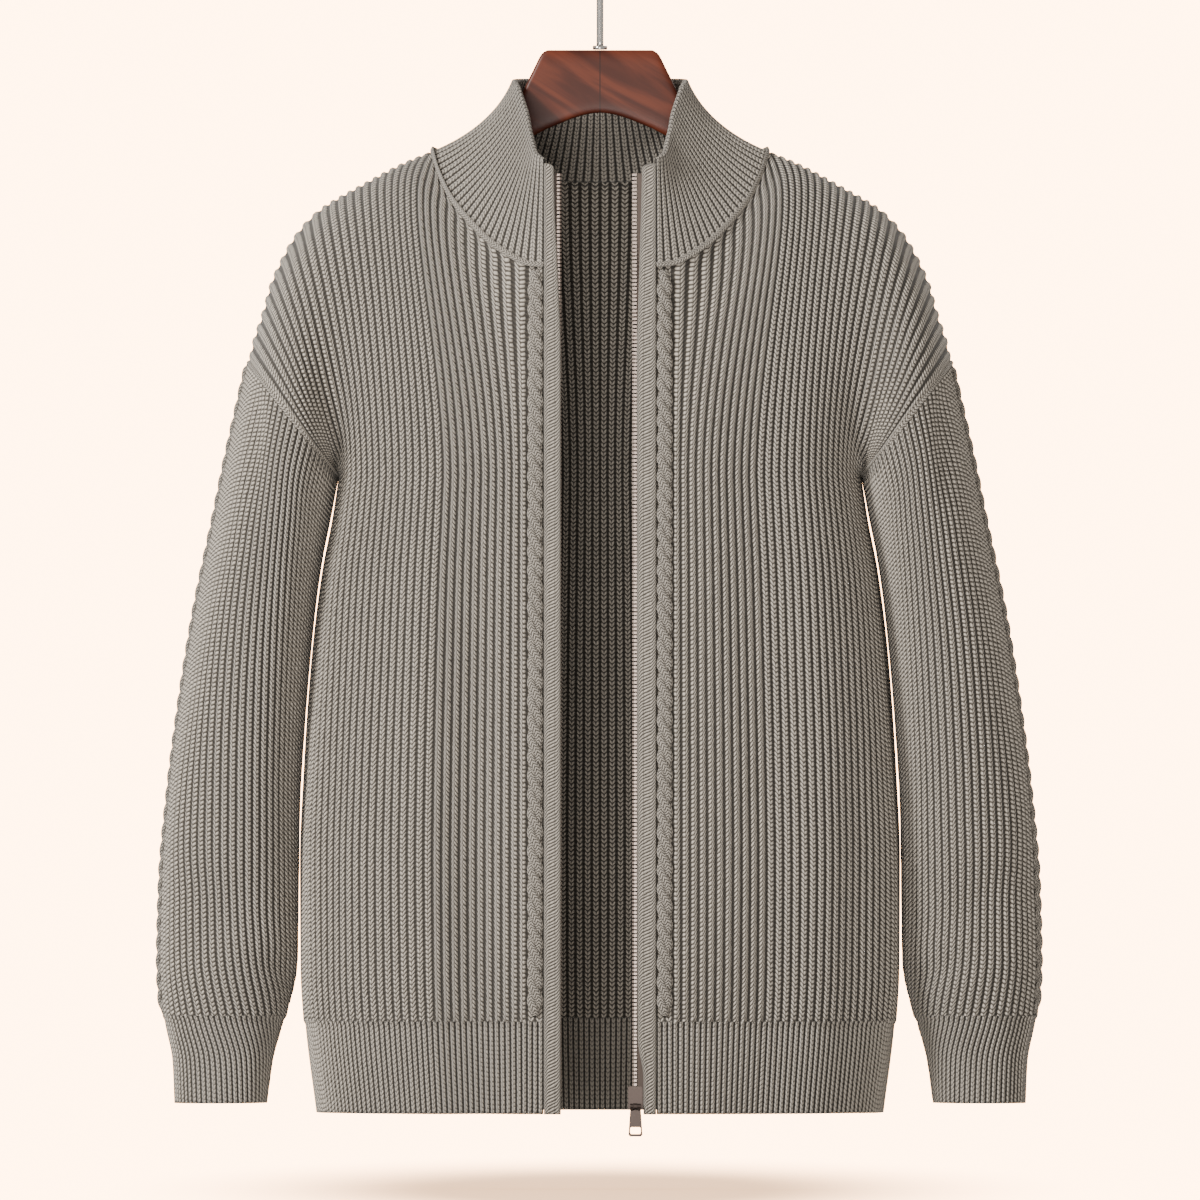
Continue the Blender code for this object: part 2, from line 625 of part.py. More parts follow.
def sleeve_point(v, s, turn, depth, inner=False):
    point, facing = sleeve_frame(v, s, turn)
    cuff_v = CUFF_RIB / (len(SLEEVE["depth"]) - 1)
    if v <= 0.0:
        plane = np.cross(ARMHOLE_TOP - UNDERARM, (0.0, 1.0, 0.0))
        plane = plane if plane[0] > 0 else -plane
        ahead, _ = sleeve_frame(0.0, s + 0.002, turn)
        behind, _ = sleeve_frame(0.0, s - 0.002, turn)
        point = point + seam_shift(ahead - behind, facing, plane) * armhole_ease(point, inner)
    return point - facing * (depth + HEM_STEP * smoothstep((v - cuff_v) / 0.01))


SLEEVE_ROWS = (0.0, 0.09, 0.20, 0.35, 0.54, 0.72, 0.816, 0.828, 1.0)


def build_sleeve(side):
    turn = CABLE_TURN[side]
    spans = {v: sleeve_section(v, turn)[1] for v in SLEEVE_ROWS}
    most = max(span[-1] for span in spans.values())
    most_back = max(-span[0] for span in spans.values())
    underarm = {v: sleeve_point(v, spans[v][0], turn, RIB_DEPTH) for v in SLEEVE_ROWS}

    def places(s):
        ends = (spans[SLEEVE_ROWS[0]], spans[SLEEVE_ROWS[-1]])
        return tuple(float((np.clip(s, span[0], span[-1]) - span[0]) / (span[-1] - span[0])) for span in ends)

    def column(s, depth):
        """A rib's column runs down until it meets the underarm's seam, and then along it."""
        row = []
        for v in SLEEVE_ROWS:
            ended = s >= spans[v][-1] - RIB_EASE or s <= spans[v][0] + RIB_EASE
            row.append(underarm[v] if ended else sleeve_point(v, s, turn, depth))
        return places(s), list(SLEEVE_ROWS), row

    edge = CABLE_WIDTH / 2
    front, back = [], []
    for k in range(1, 2 * int(max(most, most_back) / SLEEVE_RIB) + 3):
        depth = 0.0 if k % 2 else RIB_DEPTH
        if edge + (k - 1) * SLEEVE_RIB / 2 < most:
            front.append(column(edge + k * SLEEVE_RIB / 2, depth))
        if edge + (k - 1) * SLEEVE_RIB / 2 < most_back:
            back.append(column(-edge - k * SLEEVE_RIB / 2, depth))
    foot = CUFF_RIB / (len(SLEEVE["depth"]) - 1) - 0.006
    strands = []
    for number, s in enumerate((-edge * 0.42, edge * 0.42)):
        downs, heights = cable_rows(lambda d: d / SLEEVE_LENGTH * foot, foot, SLEEVE_LENGTH, number, (0.0, 1.0))
        row = [sleeve_point(v, s, turn, -h) for v, h in zip(downs, heights)]
        strands.append((places(s), downs, row))
    outer = back[::-1] + [column(-edge, RIB_DEPTH)] + strands + [column(edge, RIB_DEPTH)] + front
    inner = []
    for a in np.linspace(0, 1, 31):
        row = [sleeve_point(v, spans[v][0] + (a % 1.0) * (spans[v][-1] - spans[v][0]), turn, WALL, True)
               for v in SLEEVE_ROWS]
        inner.append((float(a), list(SLEEVE_ROWS), row))
    wall("sleeve_" + side, outer, inner, "knit", SIDES[side])


# ---- Collar ----
@functools.lru_cache(maxsize=None)
def neck_curve():
    """Half the neckline's seam, from the back's middle to the band, as points with their panel places."""
    turn = np.linspace(0.0, math.pi / 2, 60)
    back = [(NECK_HALF * math.sin(a), "back") for a in turn]
    front_end = BAND_OUTER + GAP
    start = math.acos(front_end / NECK_HALF)
    front = [(NECK_HALF * math.cos(a), "front") for a in np.linspace(0.0, start, 60)[1:]]
    return back + front


def collar_frame(u, v):
    """Half the collar: u runs 0 to 1 from the back's middle to the band, v runs 0 to 1 from the seam to the fold."""
    places = neck_curve()
    seam = np.array([neck_point(x, face) for x, face in places])
    foot = along(seam, u)
    knots = np.arange(len(COLLAR_TOP["x"]))
    fine = np.linspace(0, len(knots) - 1, 160)
    top = along(np.column_stack([smooth_table(fine, knots, COLLAR_TOP[k]) for k in "xyz"]), u)
    side = math.sin(math.pi * min(u / 0.9, 1.0)) ** 2
    lean = unit(np.array((foot[0], foot[1] * 0.5, 0.08)))
    hold = (foot + top) / 2 - lean * 2 * COLLAR_HOLLOW * side
    return foot * (1 - v) ** 2 + hold * 2 * v * (1 - v) + top * v * v


def collar_facing(u, v):
    step = 0.01
    across = collar_frame(min(u + step, 1.0), v) - collar_frame(max(u - step, 0.0), v)
    up = collar_frame(u, min(v + step, 1.0)) - collar_frame(u, max(v - step, 0.0))
    facing = unit(np.cross(across, up))
    point = collar_frame(u, v)
    facing = facing if np.dot(facing, (point[0], point[1], 0.02)) > 0 else -facing
    if u <= 0.0:
        facing = unit(facing * (0.0, 1.0, 1.0))
    if u >= 1.0:
        facing = unit(facing * (0.0, 1.0, 1.0))
    return facing


@functools.lru_cache(maxsize=None)
def seam_facing(x, face):
    """The way the wall faces along the neckline's seam: between the panel's facing and the collar's."""
    neck, _, start, _ = rib_marks(face)
    curve, shares = neck_line(face)
    place = float(np.interp(x, curve[:, 0], shares)) * neck if x > start else max(x - start, -CABLE_WIDTH)
    panel = panel_facing(min(place, neck), 0.0, face)
    places = neck_curve()
    seam = np.array([neck_point(*p) for p in places])
    length = np.concatenate(([0.0], np.cumsum(np.linalg.norm(np.diff(seam, axis=0), axis=1))))
    nearest = int(np.argmin([abs(px - x) + (pf != face) for px, pf in places]))
    collar = collar_facing(length[nearest] / length[-1], 0.0)
    facing = unit(panel + collar)
    if face == "front" and x <= start:
        facing = unit(facing * (max(1 - (start - x) / CABLE_WIDTH, 0.0), 1.0, 1.0))
    if x >= NECK_HALF - 1e-6:
        facing = unit(facing * (1.0, 0.0, 1.0))
    if face == "back" and x <= 1e-6:
        facing = unit(facing * (0.0, 1.0, 1.0))
    return facing


COLLAR_ROWS = (0.0, 0.12, 0.52, 1.0)


def collar_column(u, depth, inner=False):
    row = []
    for v in COLLAR_ROWS:
        point = collar_frame(u, v)
        if v <= 0.0:
            facing = seam_facing(float(point[0]), "front" if point[1] < 0 else "back")
            tangent = collar_frame(min(u + 0.01, 1.0), 0.0) - collar_frame(max(u - 0.01, 0.0), 0.0)
            shift = seam_shift(tangent, facing, (-point[0], -point[1], 0.1))
            point = point + shift * (1 + inner * SEAM_EASE / GAP)
            row.append(point - facing * (WALL if inner else 0.0003))
            continue
        row.append(point - collar_facing(u, v) * depth)
    return list(COLLAR_ROWS), row


def build_collar():
    outer = []
    for k in range(2 * COLLAR_RIBS + 1):
        u = k / (2 * COLLAR_RIBS)
        outer.append((u, *collar_column(u, 0.0012 if k % 2 == 0 else 0.0)))
    inner = [(u, *collar_column(u, COLLAR_WALL, True)) for u in np.linspace(0, 1, 25)]
    wall("collar", mirror_columns(outer), mirror_columns(inner), "knit", 1.0)


# ---- Bands, tapes and teeth along the opening ----
def edge_line():
    """The front's surface beside the opening, as heights and depths from the hem to the collar's top."""
    rows = [panel_point(-CABLE_WIDTH + 1e-6, v, "front") for v in np.linspace(0, 2, 41)]
    rows = rows[::-1] + [collar_frame(1.0, v) for v in (0.25, 0.5, 0.75, 1.0)]
    line = np.array(rows)
    line[:, 1] += np.array([hem_step((p[2] - CHEST_Z) / (HEM_Z - CHEST_Z) + 1.0) for p in line]) * 0.5
    return line[:, 2], line[:, 1]


def strip(name, side, heights, outline, slot):
    """A strip along the opening: outline(z) gives its section's (x, y) points at each height."""
    heights_of, depths = edge_line()
    rings, count = [], 0
    for z in heights:
        y = float(np.interp(z, heights_of, depths))
        section = [(px * SIDES[side], y + py, z) for px, py in outline(z)]
        count = len(section)
        rings.append(section)
    points = [p for ring in rings for p in ring]
    faces = [tuple(range(count)), tuple(range((len(rings) - 1) * count, len(rings) * count))]
    for r in range(len(rings) - 1):
        for k in range(count):
            a, b = r * count + k, r * count + (k + 1) % count
            faces.append((a, b, b + count, a + count))
    return add_solid(name, points, faces, slot)


BAND_HEIGHTS = (-0.8395, -0.8150, -0.7850, -0.7400, -0.6600, -0.5600, -0.4700, -0.3900, -0.3200, -0.2600, -0.2200,
                -0.1900, BAND_TOP_Z)


def build_opening(side):
    def band_section(z):
        inner = float(smooth_table(z, BAND["z"], BAND[side]))
        front, back = -BAND_PROUD, BAND_THICK - BAND_PROUD
        r = 0.0011
        return [(inner + r, front), (BAND_OUTER - r, front), (BAND_OUTER, front + r), (BAND_OUTER, back - r),
                (BAND_OUTER - r, back), (inner + r, back), (inner, back - r), (inner, front + r)]

    behind = BAND_THICK - BAND_PROUD + GAP
    edge = TEETH_EDGE[side]

    def tape_section(z):
        near, y = edge + TEETH_WIDTH + GAP, behind + TAPE_BACK
        return [(near, y), (TAPE_OUTER, y), (TAPE_OUTER, y + TAPE_THICK), (near, y + TAPE_THICK)]

    def teeth_section(z):
        return [(edge, behind), (edge + TEETH_WIDTH, behind), (edge + TEETH_WIDTH, behind + TEETH_THICK),
                (edge, behind + TEETH_THICK)]

    strip("placket_" + side, side, BAND_HEIGHTS, band_section, "band")
    inside = [z for z in BAND_HEIGHTS if HEM_Z < z < ZIP_TOP_Z]
    foot = HEM_Z + 0.001 if side == "right" else SLIDER_Z - SLIDER_SIZE[2] / 2
    strip("zip_tape_" + side, side, [foot] + inside + [ZIP_TOP_Z], tape_section, "tape")
    foot = HEM_Z + 0.0160 if side == "right" else SLIDER_Z + SLIDER_SIZE[2] / 2 + GAP
    inside = [z for z in inside if z > foot + 0.002]
    strip("zip_teeth_" + side, side, [foot] + inside + [ZIP_TOP_Z], teeth_section, "zip_metal")


def box_points(centre, size):
    x, y, z = (s / 2 for s in size)
    return [(centre[0] + a * x, centre[1] + b * y, centre[2] + c * z)
            for a, b, c in ((-1, -1, -1), (1, -1, -1), (1, 1, -1), (-1, 1, -1), (-1, -1, 1), (1, -1, 1), (1, 1, 1),
                            (-1, 1, 1))]


BOX_FACES = [(0, 1, 2, 3), (4, 5, 6, 7), (0, 1, 5, 4), (1, 2, 6, 5), (2, 3, 7, 6), (3, 0, 4, 7)]


def zip_centre_y(z):
    heights, depths = edge_line()
    behind = BAND_THICK - BAND_PROUD + GAP
    return float(np.interp(z, heights, depths)) + behind + TEETH_THICK / 2


def build_zip_foot():
    pin_x = -(TEETH_EDGE["right"] + TEETH_WIDTH / 2)
    pin_z = HEM_Z + PIN_FOOT[2] / 2 + 0.0015
    add_solid("zip_pin", box_points((pin_x, zip_centre_y(pin_z), pin_z), PIN_FOOT), BOX_FACES, "zip_metal")
    box_z = SLIDER_Z - SLIDER_SIZE[2] / 2 - GAP - BOX_SIZE[2] / 2
    add_solid("zip_box", box_points((SLIDER_X, zip_centre_y(HEM_Z), box_z), BOX_SIZE), BOX_FACES, "zip_metal")


def round_profile(centre, radius, start, end, steps):
    turns = [math.radians(start + (end - start) * k / steps) for k in range(steps + 1)]
    return [(centre[0] + radius * math.cos(a), centre[1] + radius * math.sin(a)) for a in turns]


def extrude_x(name, profile, x_low, x_high, slot):
    """A solid with a (y, z) profile, from x_low to x_high."""
    count = len(profile)
    points = [(x, y, z) for x in (x_low, x_high) for y, z in profile]
    faces = [tuple(range(count)), tuple(range(count, 2 * count))]
    faces += [(k, (k + 1) % count, (k + 1) % count + count, k + count) for k in range(count)]
    return add_solid(name, points, faces, slot)


def apply_boolean(solid, other, operation):
    """Cuts or joins with a helper solid, which is then removed."""
    modifier = solid.modifiers.new(operation.lower(), "BOOLEAN")
    modifier.operation = operation
    modifier.object = other
    graph = bpy.context.evaluated_depsgraph_get()
    mesh = bpy.data.meshes.new_from_object(solid.evaluated_get(graph))
    solid.modifiers.clear()
    solid.data = mesh
    bpy.data.objects.remove(other, do_unlink=True)


def pivot():
    front = zip_centre_y(SLIDER_Z) - SLIDER_SIZE[1] / 2
    return front - PIVOT_OUT, PIVOT_Z


def build_slider():
    """Front and back plates joined by a spine, with a lug on the front plate for the pull tab's pin."""
    y = zip_centre_y(SLIDER_Z)
    half_x, half_y, half_z = (s / 2 for s in SLIDER_SIZE)
    inner_y = half_y - SLIDER_PLATE
    left, spine = SLIDER_X - half_x, SLIDER_X - half_x + SLIDER_SPINE
    outline = [(left, -half_y), (SLIDER_X + half_x, -half_y), (SLIDER_X + half_x, -inner_y), (spine, -inner_y),
               (spine, inner_y), (SLIDER_X + half_x, inner_y), (SLIDER_X + half_x, half_y), (left, half_y)]
    points = [(px, y + py, SLIDER_Z + pz) for pz in (-half_z, half_z) for px, py in outline]
    count = len(outline)
    faces = [tuple(range(count)), tuple(range(count, 2 * count))]
    faces += [(k, (k + 1) % count, (k + 1) % count + count, k + count) for k in range(count)]
    slider = add_solid("zip_slider", points, faces, "zip_metal")
    axis_y, axis_z = pivot()
    plate_y = y - half_y
    profile = [(plate_y + 0.0004, axis_z - LUG_RADIUS)] + round_profile((axis_y, axis_z), LUG_RADIUS, 270, 90, 8)
    profile += [(plate_y + 0.0004, axis_z + LUG_RADIUS)]
    lug = extrude_x("lug", profile, SLIDER_X - LUG_WIDTH / 2, SLIDER_X + LUG_WIDTH / 2, "zip_metal")
    bore = extrude_x("bore", round_profile((axis_y, axis_z), LUG_BORE, 0, 330, 11),
                     SLIDER_X - LUG_WIDTH, SLIDER_X + LUG_WIDTH, "zip_metal")
    apply_boolean(lug, bore, "DIFFERENCE")
    apply_boolean(slider, lug, "UNION")


def build_pull():
    """A flat tab with a window, two ears and a pin through the slider's lug. It hangs straight down."""
    axis_y, axis_z = pivot()
    near, far = axis_y - TAB_THICK / 2, axis_y + TAB_THICK / 2
    top, foot = -TAB_TOP, -TAB_LENGTH
    corner = 0.0012
    outline = [(-TAB_HALF_TOP, top), (TAB_HALF_TOP, top), (TAB_HALF_FOOT, foot + corner),
               (TAB_HALF_FOOT - corner, foot), (-TAB_HALF_FOOT + corner, foot), (-TAB_HALF_FOOT, foot + corner)]
    window = [(-WINDOW_HALF + 0.0008, -WINDOW_TOP), (WINDOW_HALF - 0.0008, -WINDOW_TOP),
              (WINDOW_HALF, -WINDOW_TOP - 0.0008), (WINDOW_HALF, -WINDOW_FOOT + 0.0008),
              (WINDOW_HALF - 0.0008, -WINDOW_FOOT), (-WINDOW_HALF + 0.0008, -WINDOW_FOOT),
              (-WINDOW_HALF, -WINDOW_FOOT + 0.0008), (-WINDOW_HALF, -WINDOW_TOP - 0.0008)]

    def plate(name, shape, y_low, y_high):
        count = len(shape)
        points = [(SLIDER_X + px, y, axis_z + pz) for y in (y_low, y_high) for px, pz in shape]
        faces = [tuple(range(count)), tuple(range(count, 2 * count))]
        faces += [(k, (k + 1) % count, (k + 1) % count + count, k + count) for k in range(count)]
        return add_solid(name, points, faces, "zip_metal")

    pull = plate("zip_pull", outline, near, far)
    apply_boolean(pull, plate("window", window, near - 0.001, far + 0.001), "DIFFERENCE")
    ear = round_profile((axis_y, axis_z), EAR_RADIUS, 0, 180, 8) + [
        (near + 0.0001, axis_z - TAB_TOP - 0.0006), (far - 0.0001, axis_z - TAB_TOP - 0.0006)]
    inner = LUG_WIDTH / 2 + EAR_GAP
    for sign in (-1, 1):
        low, high = sorted((SLIDER_X + sign * inner, SLIDER_X + sign * (inner + EAR_WIDTH)))
        apply_boolean(pull, extrude_x("ear", ear, low, high, "zip_metal"), "UNION")
    pin = extrude_x("pin", round_profile((axis_y, axis_z), PIN_RADIUS, 0, 330, 11),
                    SLIDER_X - inner - EAR_WIDTH * 0.6, SLIDER_X + inner + EAR_WIDTH * 0.6, "zip_metal")
    apply_boolean(pull, pin, "UNION")
    axis = np.array((SLIDER_X, axis_y, axis_z))
    for vertex in pull.data.vertices:
        vertex.co = np.array(vertex.co) - axis
    pull.location = axis


# ---- Hanger ----
def rings_solid(name, rings, slot):
    count = len(rings[0])
    points = [p for ring in rings for p in ring]
    faces = [tuple(range(count)), tuple(range((len(rings) - 1) * count, len(rings) * count))]
    for r in range(len(rings) - 1):
        for k in range(count):
            a, b = r * count + k, r * count + (k + 1) % count
            faces.append((a, b, b + count, a + count))
    return add_solid(name, points, faces, slot)


def build_wood():
    """Flat-topped in the middle, with a low arch under it, then rounded arms under the shoulders."""
    stations = [-x for x in WOOD["x"][:0:-1]] + list(WOOD["x"])
    rings = []
    for x in stations:
        top, foot, half = (float(np.interp(abs(x), WOOD["x"], WOOD[k])) for k in ("top", "foot", "half_thick"))
        middle, tall = (top + foot) / 2, (top - foot) / 2
        ring = []
        for k in range(12):
            a = math.pi * (k + 0.5) / 6
            ring.append((x, half * math.cos(a), middle + tall * math.sin(a) / math.sin(math.pi * 5 / 12)))
        rings.append(ring)
    rings_solid("hanger_wood", rings, "hanger_wood")


def hook_line():
    """The wire's middle line: up the shank, round a fillet, then round the hook."""
    centre_z = -(HOOK_ARC - HOOK_WIRE)
    reach = HOOK_ARC + HOOK_FILLET
    lean = math.acos(HOOK_FILLET / reach)
    fillet_z = centre_z - reach * math.sin(lean)
    line = [(0.0, WOOD_TOP_Z + GAP), (0.0, WOOD_TOP_Z + FERRULE_HEIGHT), (0.0, WOOD_TOP_Z + FERRULE_HEIGHT + 0.0004)]
    for k in range(1, 7):
        a = (math.pi - lean) + lean * (k / 6)
        line.append((HOOK_FILLET + HOOK_FILLET * math.cos(math.pi - (a - (math.pi - lean))),
                     fillet_z + HOOK_FILLET * math.sin(a - (math.pi - lean))))
    start, end = -lean, math.radians(HOOK_END_ANGLE)
    for k in range(1, 25):
        a = start + (end - start) * k / 24
        line.append((HOOK_ARC * math.cos(a), centre_z + HOOK_ARC * math.sin(a)))
    return line


def build_hook():
    line = [np.array((x, 0.0, z)) for x, z in hook_line()]
    rings = []
    for k, point in enumerate(line):
        way = unit(line[min(k + 1, len(line) - 1)] - line[max(k - 1, 0)])
        if k < 3:
            way = np.array((0.0, 0.0, 1.0))
        across = np.cross(way, (0.0, 1.0, 0.0))
        radius = FERRULE_RADIUS if k < 2 else HOOK_WIRE
        rings.append([point + radius * (math.cos(a) * across + math.sin(a) * np.array((0.0, 1.0, 0.0)))
                      for a in (math.tau * j / 8 for j in range(8))])
    solid = rings_solid("hanger_hook", rings, "steel")
    solid.data.shade_smooth()


clear_scene()
for wearer_side in SIDES:
    build_front(wearer_side)
    build_sleeve(wearer_side)
    build_opening(wearer_side)
build_back()
build_collar()
build_zip_foot()
build_slider()
build_pull()
build_wood()
build_hook()
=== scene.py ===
"""The looks of a zip-up cardigan in half-cardigan rib, hanging open on a wooden hanger.

Metres, +Z up. The origin is the hook's inner crown, the front faces -Y, and +X is the wearer's left.
"""
import json
import math

import bmesh
import bpy
import numpy as np
from mathutils import Matrix, Vector

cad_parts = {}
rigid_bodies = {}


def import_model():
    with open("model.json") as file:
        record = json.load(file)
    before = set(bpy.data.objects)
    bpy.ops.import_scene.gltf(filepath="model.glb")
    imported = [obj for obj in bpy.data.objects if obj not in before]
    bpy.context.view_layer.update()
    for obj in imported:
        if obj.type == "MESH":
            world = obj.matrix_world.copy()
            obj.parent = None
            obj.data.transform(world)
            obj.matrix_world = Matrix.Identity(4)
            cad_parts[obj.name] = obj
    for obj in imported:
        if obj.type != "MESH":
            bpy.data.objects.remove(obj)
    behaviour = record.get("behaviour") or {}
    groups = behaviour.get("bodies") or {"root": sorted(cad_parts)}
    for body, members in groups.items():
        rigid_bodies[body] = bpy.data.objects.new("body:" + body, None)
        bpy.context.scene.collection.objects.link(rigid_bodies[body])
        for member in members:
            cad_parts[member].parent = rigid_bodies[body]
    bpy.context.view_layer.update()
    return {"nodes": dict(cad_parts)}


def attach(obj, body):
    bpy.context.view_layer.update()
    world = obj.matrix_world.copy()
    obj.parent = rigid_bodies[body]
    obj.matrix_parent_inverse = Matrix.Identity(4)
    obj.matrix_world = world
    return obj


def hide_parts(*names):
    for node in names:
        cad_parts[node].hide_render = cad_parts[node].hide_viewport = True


for thing in list(bpy.data.objects):
    bpy.data.objects.remove(thing, do_unlink=True)
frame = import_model()

# ---- Back panel and the body's shape ----
# One knitted panel from hem to shoulders, in half-cardigan rib with the hem rib knitted on.
# Its wall follows the body's sections. Each rib is a run of columns, and the stitches are in the material.
RIB_DEPTH, WALL = 0.0017, 0.0030
CHAIN_END, DITCH_SLOPE = 0.24, 0.60  # a rib's raised chain and the slope beside it, as shares of half a rib
GAP = 0.0003  # between neighbouring pieces
CHEST_Z, HEM_RIB_Z, HEM_Z = -0.390, -0.7743, -0.8395
HEM_V = 1.0 + (HEM_RIB_Z - CHEST_Z) / (HEM_Z - CHEST_Z)  # where the hem rib starts, down a panel
HEM_STEP, HEM_STEP_V = 0.0012, 0.008  # how far the hem rib is drawn in, and how soon
HEM_FINER = 1.5  # ribs of the hems and cuffs for each rib above them
ROW_ABOVE = 0.0006  # in v, from the last row of the wide ribs to the first of the fine ones
SECTION_POWER = 3.0
BODY = {
    "z": (-0.390, -0.422, -0.455, -0.520, -0.600, -0.660, -0.740, -0.7743, -0.8395),
    "half_width": (0.1980, 0.2010, 0.2035, 0.2067, 0.2120, 0.2145, 0.2135, 0.2110, 0.2025),
    "front_depth": (0.098, 0.099, 0.100, 0.101, 0.102, 0.102, 0.100, 0.098, 0.094),
    "back_depth": (0.088, 0.089, 0.090, 0.091, 0.092, 0.092, 0.090, 0.088, 0.084),
    "side": (0.1850, 0.1900, 0.1965, 0.2045, 0.2100, 0.2125, 0.2120, 0.2100, 0.2020),
}
NECK_HALF, NECK_FRONT_DEPTH, NECK_BACK_DEPTH = 0.1193, 0.0970, 0.0560
NECK_SIDE_Z, NECK_BACK_Z = -0.1590, -0.1800
NECK_SPREAD = 0.024
NECK = {
    "x": (0.0380, 0.0517, 0.0648, 0.0772, 0.0924, 0.1062, 0.1154, 0.1193),
    "z": (-0.2420, -0.2405, -0.2340, -0.2255, -0.2104, -0.1927, -0.1728, -0.1590),
}
RIDGE = {
    "x": (0.1193, 0.1391, 0.1692, 0.1982, 0.2103, 0.2188, 0.2266, 0.2343, 0.2400, 0.2457, 0.2492),
    "z": (-0.1590, -0.1668, -0.1824, -0.1994, -0.2107, -0.2220, -0.2362, -0.2539, -0.2751, -0.2914, -0.3080),
}
SHOULDER_POINT_X = 0.1982
ARMHOLE_TOP = np.array((0.2492, 0.0, -0.3080))
UNDERARM = np.array((0.1850, 0.0, -0.3900))
ARMHOLE_DEPTH = 0.086
ARMPIT_OUT = np.array((0.25, 0.0, -0.97))
BAND_OUTER, CABLE_WIDTH = 0.0396, 0.0115
SHOULDER_RIBS, DROP_RIBS = 13, 12
RIBS_UNDER_NECK = {"front": 11, "back": 20}
START_X = {"front": BAND_OUTER + GAP + CABLE_WIDTH, "back": 0.0}
STITCH = 0.0032  # from one stitch to the next down a rib


def unit(v):
    return v / np.maximum(np.linalg.norm(v, axis=-1, keepdims=True), 1e-12)


def ease(t):
    t = np.clip(t, 0.0, 1.0)
    return t * t * (3.0 - 2.0 * t)


def smooth_table(x, xs, ys):
    """Monotone cubic through a table's rows, which never overshoots them."""
    xs, ys = np.asarray(xs, float), np.asarray(ys, float)
    if xs[0] > xs[-1]:
        xs, ys = xs[::-1], ys[::-1]
    step = np.diff(xs)
    slope = np.diff(ys) / step
    bend = np.zeros_like(ys)
    same = slope[1:] * slope[:-1] > 0.0
    weights = (step[1:] * 2 + step[:-1], step[1:] + step[:-1] * 2)
    safe = np.where(same, slope[:-1], 1.0), np.where(same, slope[1:], 1.0)
    mean = (weights[0] + weights[1]) / (weights[0] / safe[0] + weights[1] / safe[1])
    bend[1:-1] = np.where(same, mean, 0.0)
    bend[0], bend[-1] = slope[0], slope[-1]
    x = np.clip(x, xs[0], xs[-1])
    i = np.clip(np.searchsorted(xs, x) - 1, 0, len(xs) - 2)
    t = (x - xs[i]) / step[i]
    low = ys[i] * (1 + 2 * t) * (1 - t) ** 2 + bend[i] * step[i] * t * (1 - t) ** 2
    return low + ys[i + 1] * t * t * (3 - 2 * t) + bend[i + 1] * step[i] * t * t * (t - 1)


def lengths(curve):
    return np.concatenate(([0.0], np.cumsum(np.linalg.norm(np.diff(curve, axis=0), axis=1))))


def at(curve, places, want):
    """Points of a dense curve where its places reach the wanted values."""
    return np.stack([np.interp(want, places, curve[:, k]) for k in range(curve.shape[1])], axis=-1)


def along(curve, share):
    length = lengths(curve)
    return at(curve, length / length[-1], share)


def body_half(z, face, steps=160):
    """Half a body section, from its middle to its side seam."""
    width, side, depth = (smooth_table(z, BODY["z"], BODY[k])
                          for k in ("half_width", "side", face + "_depth"))
    turn = np.linspace(0.0, math.pi / 2, steps)
    x = width * np.sin(turn) ** (2.0 / SECTION_POWER)
    y = depth * np.cos(turn) ** (2.0 / SECTION_POWER)
    x = x - (width - side) * np.exp(-((y / (0.7 * depth)) ** 2)) * (x / width)
    return np.column_stack((x, (-1.0 if face == "front" else 1.0) * y, np.full(steps, z)))


def body_row(z, us, face):
    """A row round the body.

    us are shares of the way to the side seam, or metres into the cable's strip where they are below 0.
    """
    curve, start = body_half(z, face), START_X[face]
    first = at(curve, curve[:, 0], np.array([start]))
    line = np.vstack((first, curve[curve[:, 0] > start + 1e-6]))
    row = along(line, np.maximum(us, 0.0))
    strip = us < 0
    row[strip] = at(curve, curve[:, 0], start + us[strip])
    return row


def neck_point(x, face):
    """The neckline's seam, at a distance x from the middle."""
    x = np.atleast_1d(x)
    ratio = np.minimum(x / NECK_HALF, 1.0)
    if face == "front":
        y, z = -NECK_FRONT_DEPTH * np.sqrt(1 - ratio**2), smooth_table(x, NECK["x"], NECK["z"])
    else:
        y = NECK_BACK_DEPTH * np.sqrt(1 - ratio**2)
        z = NECK_BACK_Z + (NECK_SIDE_Z - NECK_BACK_Z) * ratio**2.5
    return np.column_stack((x, y, z))


def rib_marks(face):
    total = RIBS_UNDER_NECK[face] + SHOULDER_RIBS + DROP_RIBS
    return RIBS_UNDER_NECK[face] / total, (RIBS_UNDER_NECK[face] + SHOULDER_RIBS) / total, total


def panel_top(us, face):
    """Where each column starts: at the neckline, on the way to the shoulder point, or past it."""
    neck, shoulder, _ = rib_marks(face)
    start = START_X[face]
    turns = np.linspace(math.asin(start / NECK_HALF), math.pi / 2, 90)
    top = along(neck_point(NECK_HALF * np.sin(turns), face), np.clip(us / neck, 0, 1))
    strip = us < 0
    top[strip] = neck_point(start + us[strip], face)
    knots, fine = np.arange(len(RIDGE["x"])), np.linspace(0, len(RIDGE["x"]) - 1, 200)
    ridge = np.column_stack((smooth_table(fine, knots, RIDGE["x"]), np.zeros(200),
                             smooth_table(fine, knots, RIDGE["z"])))
    split = int(np.searchsorted(ridge[:, 0], SHOULDER_POINT_X))
    first, second = (us > neck) & (us <= shoulder), us > shoulder
    top[first] = along(ridge[: split + 1], (us[first] - neck) / (shoulder - neck))
    top[second] = along(ridge[split:], (us[second] - shoulder) / (1 - shoulder))
    return top


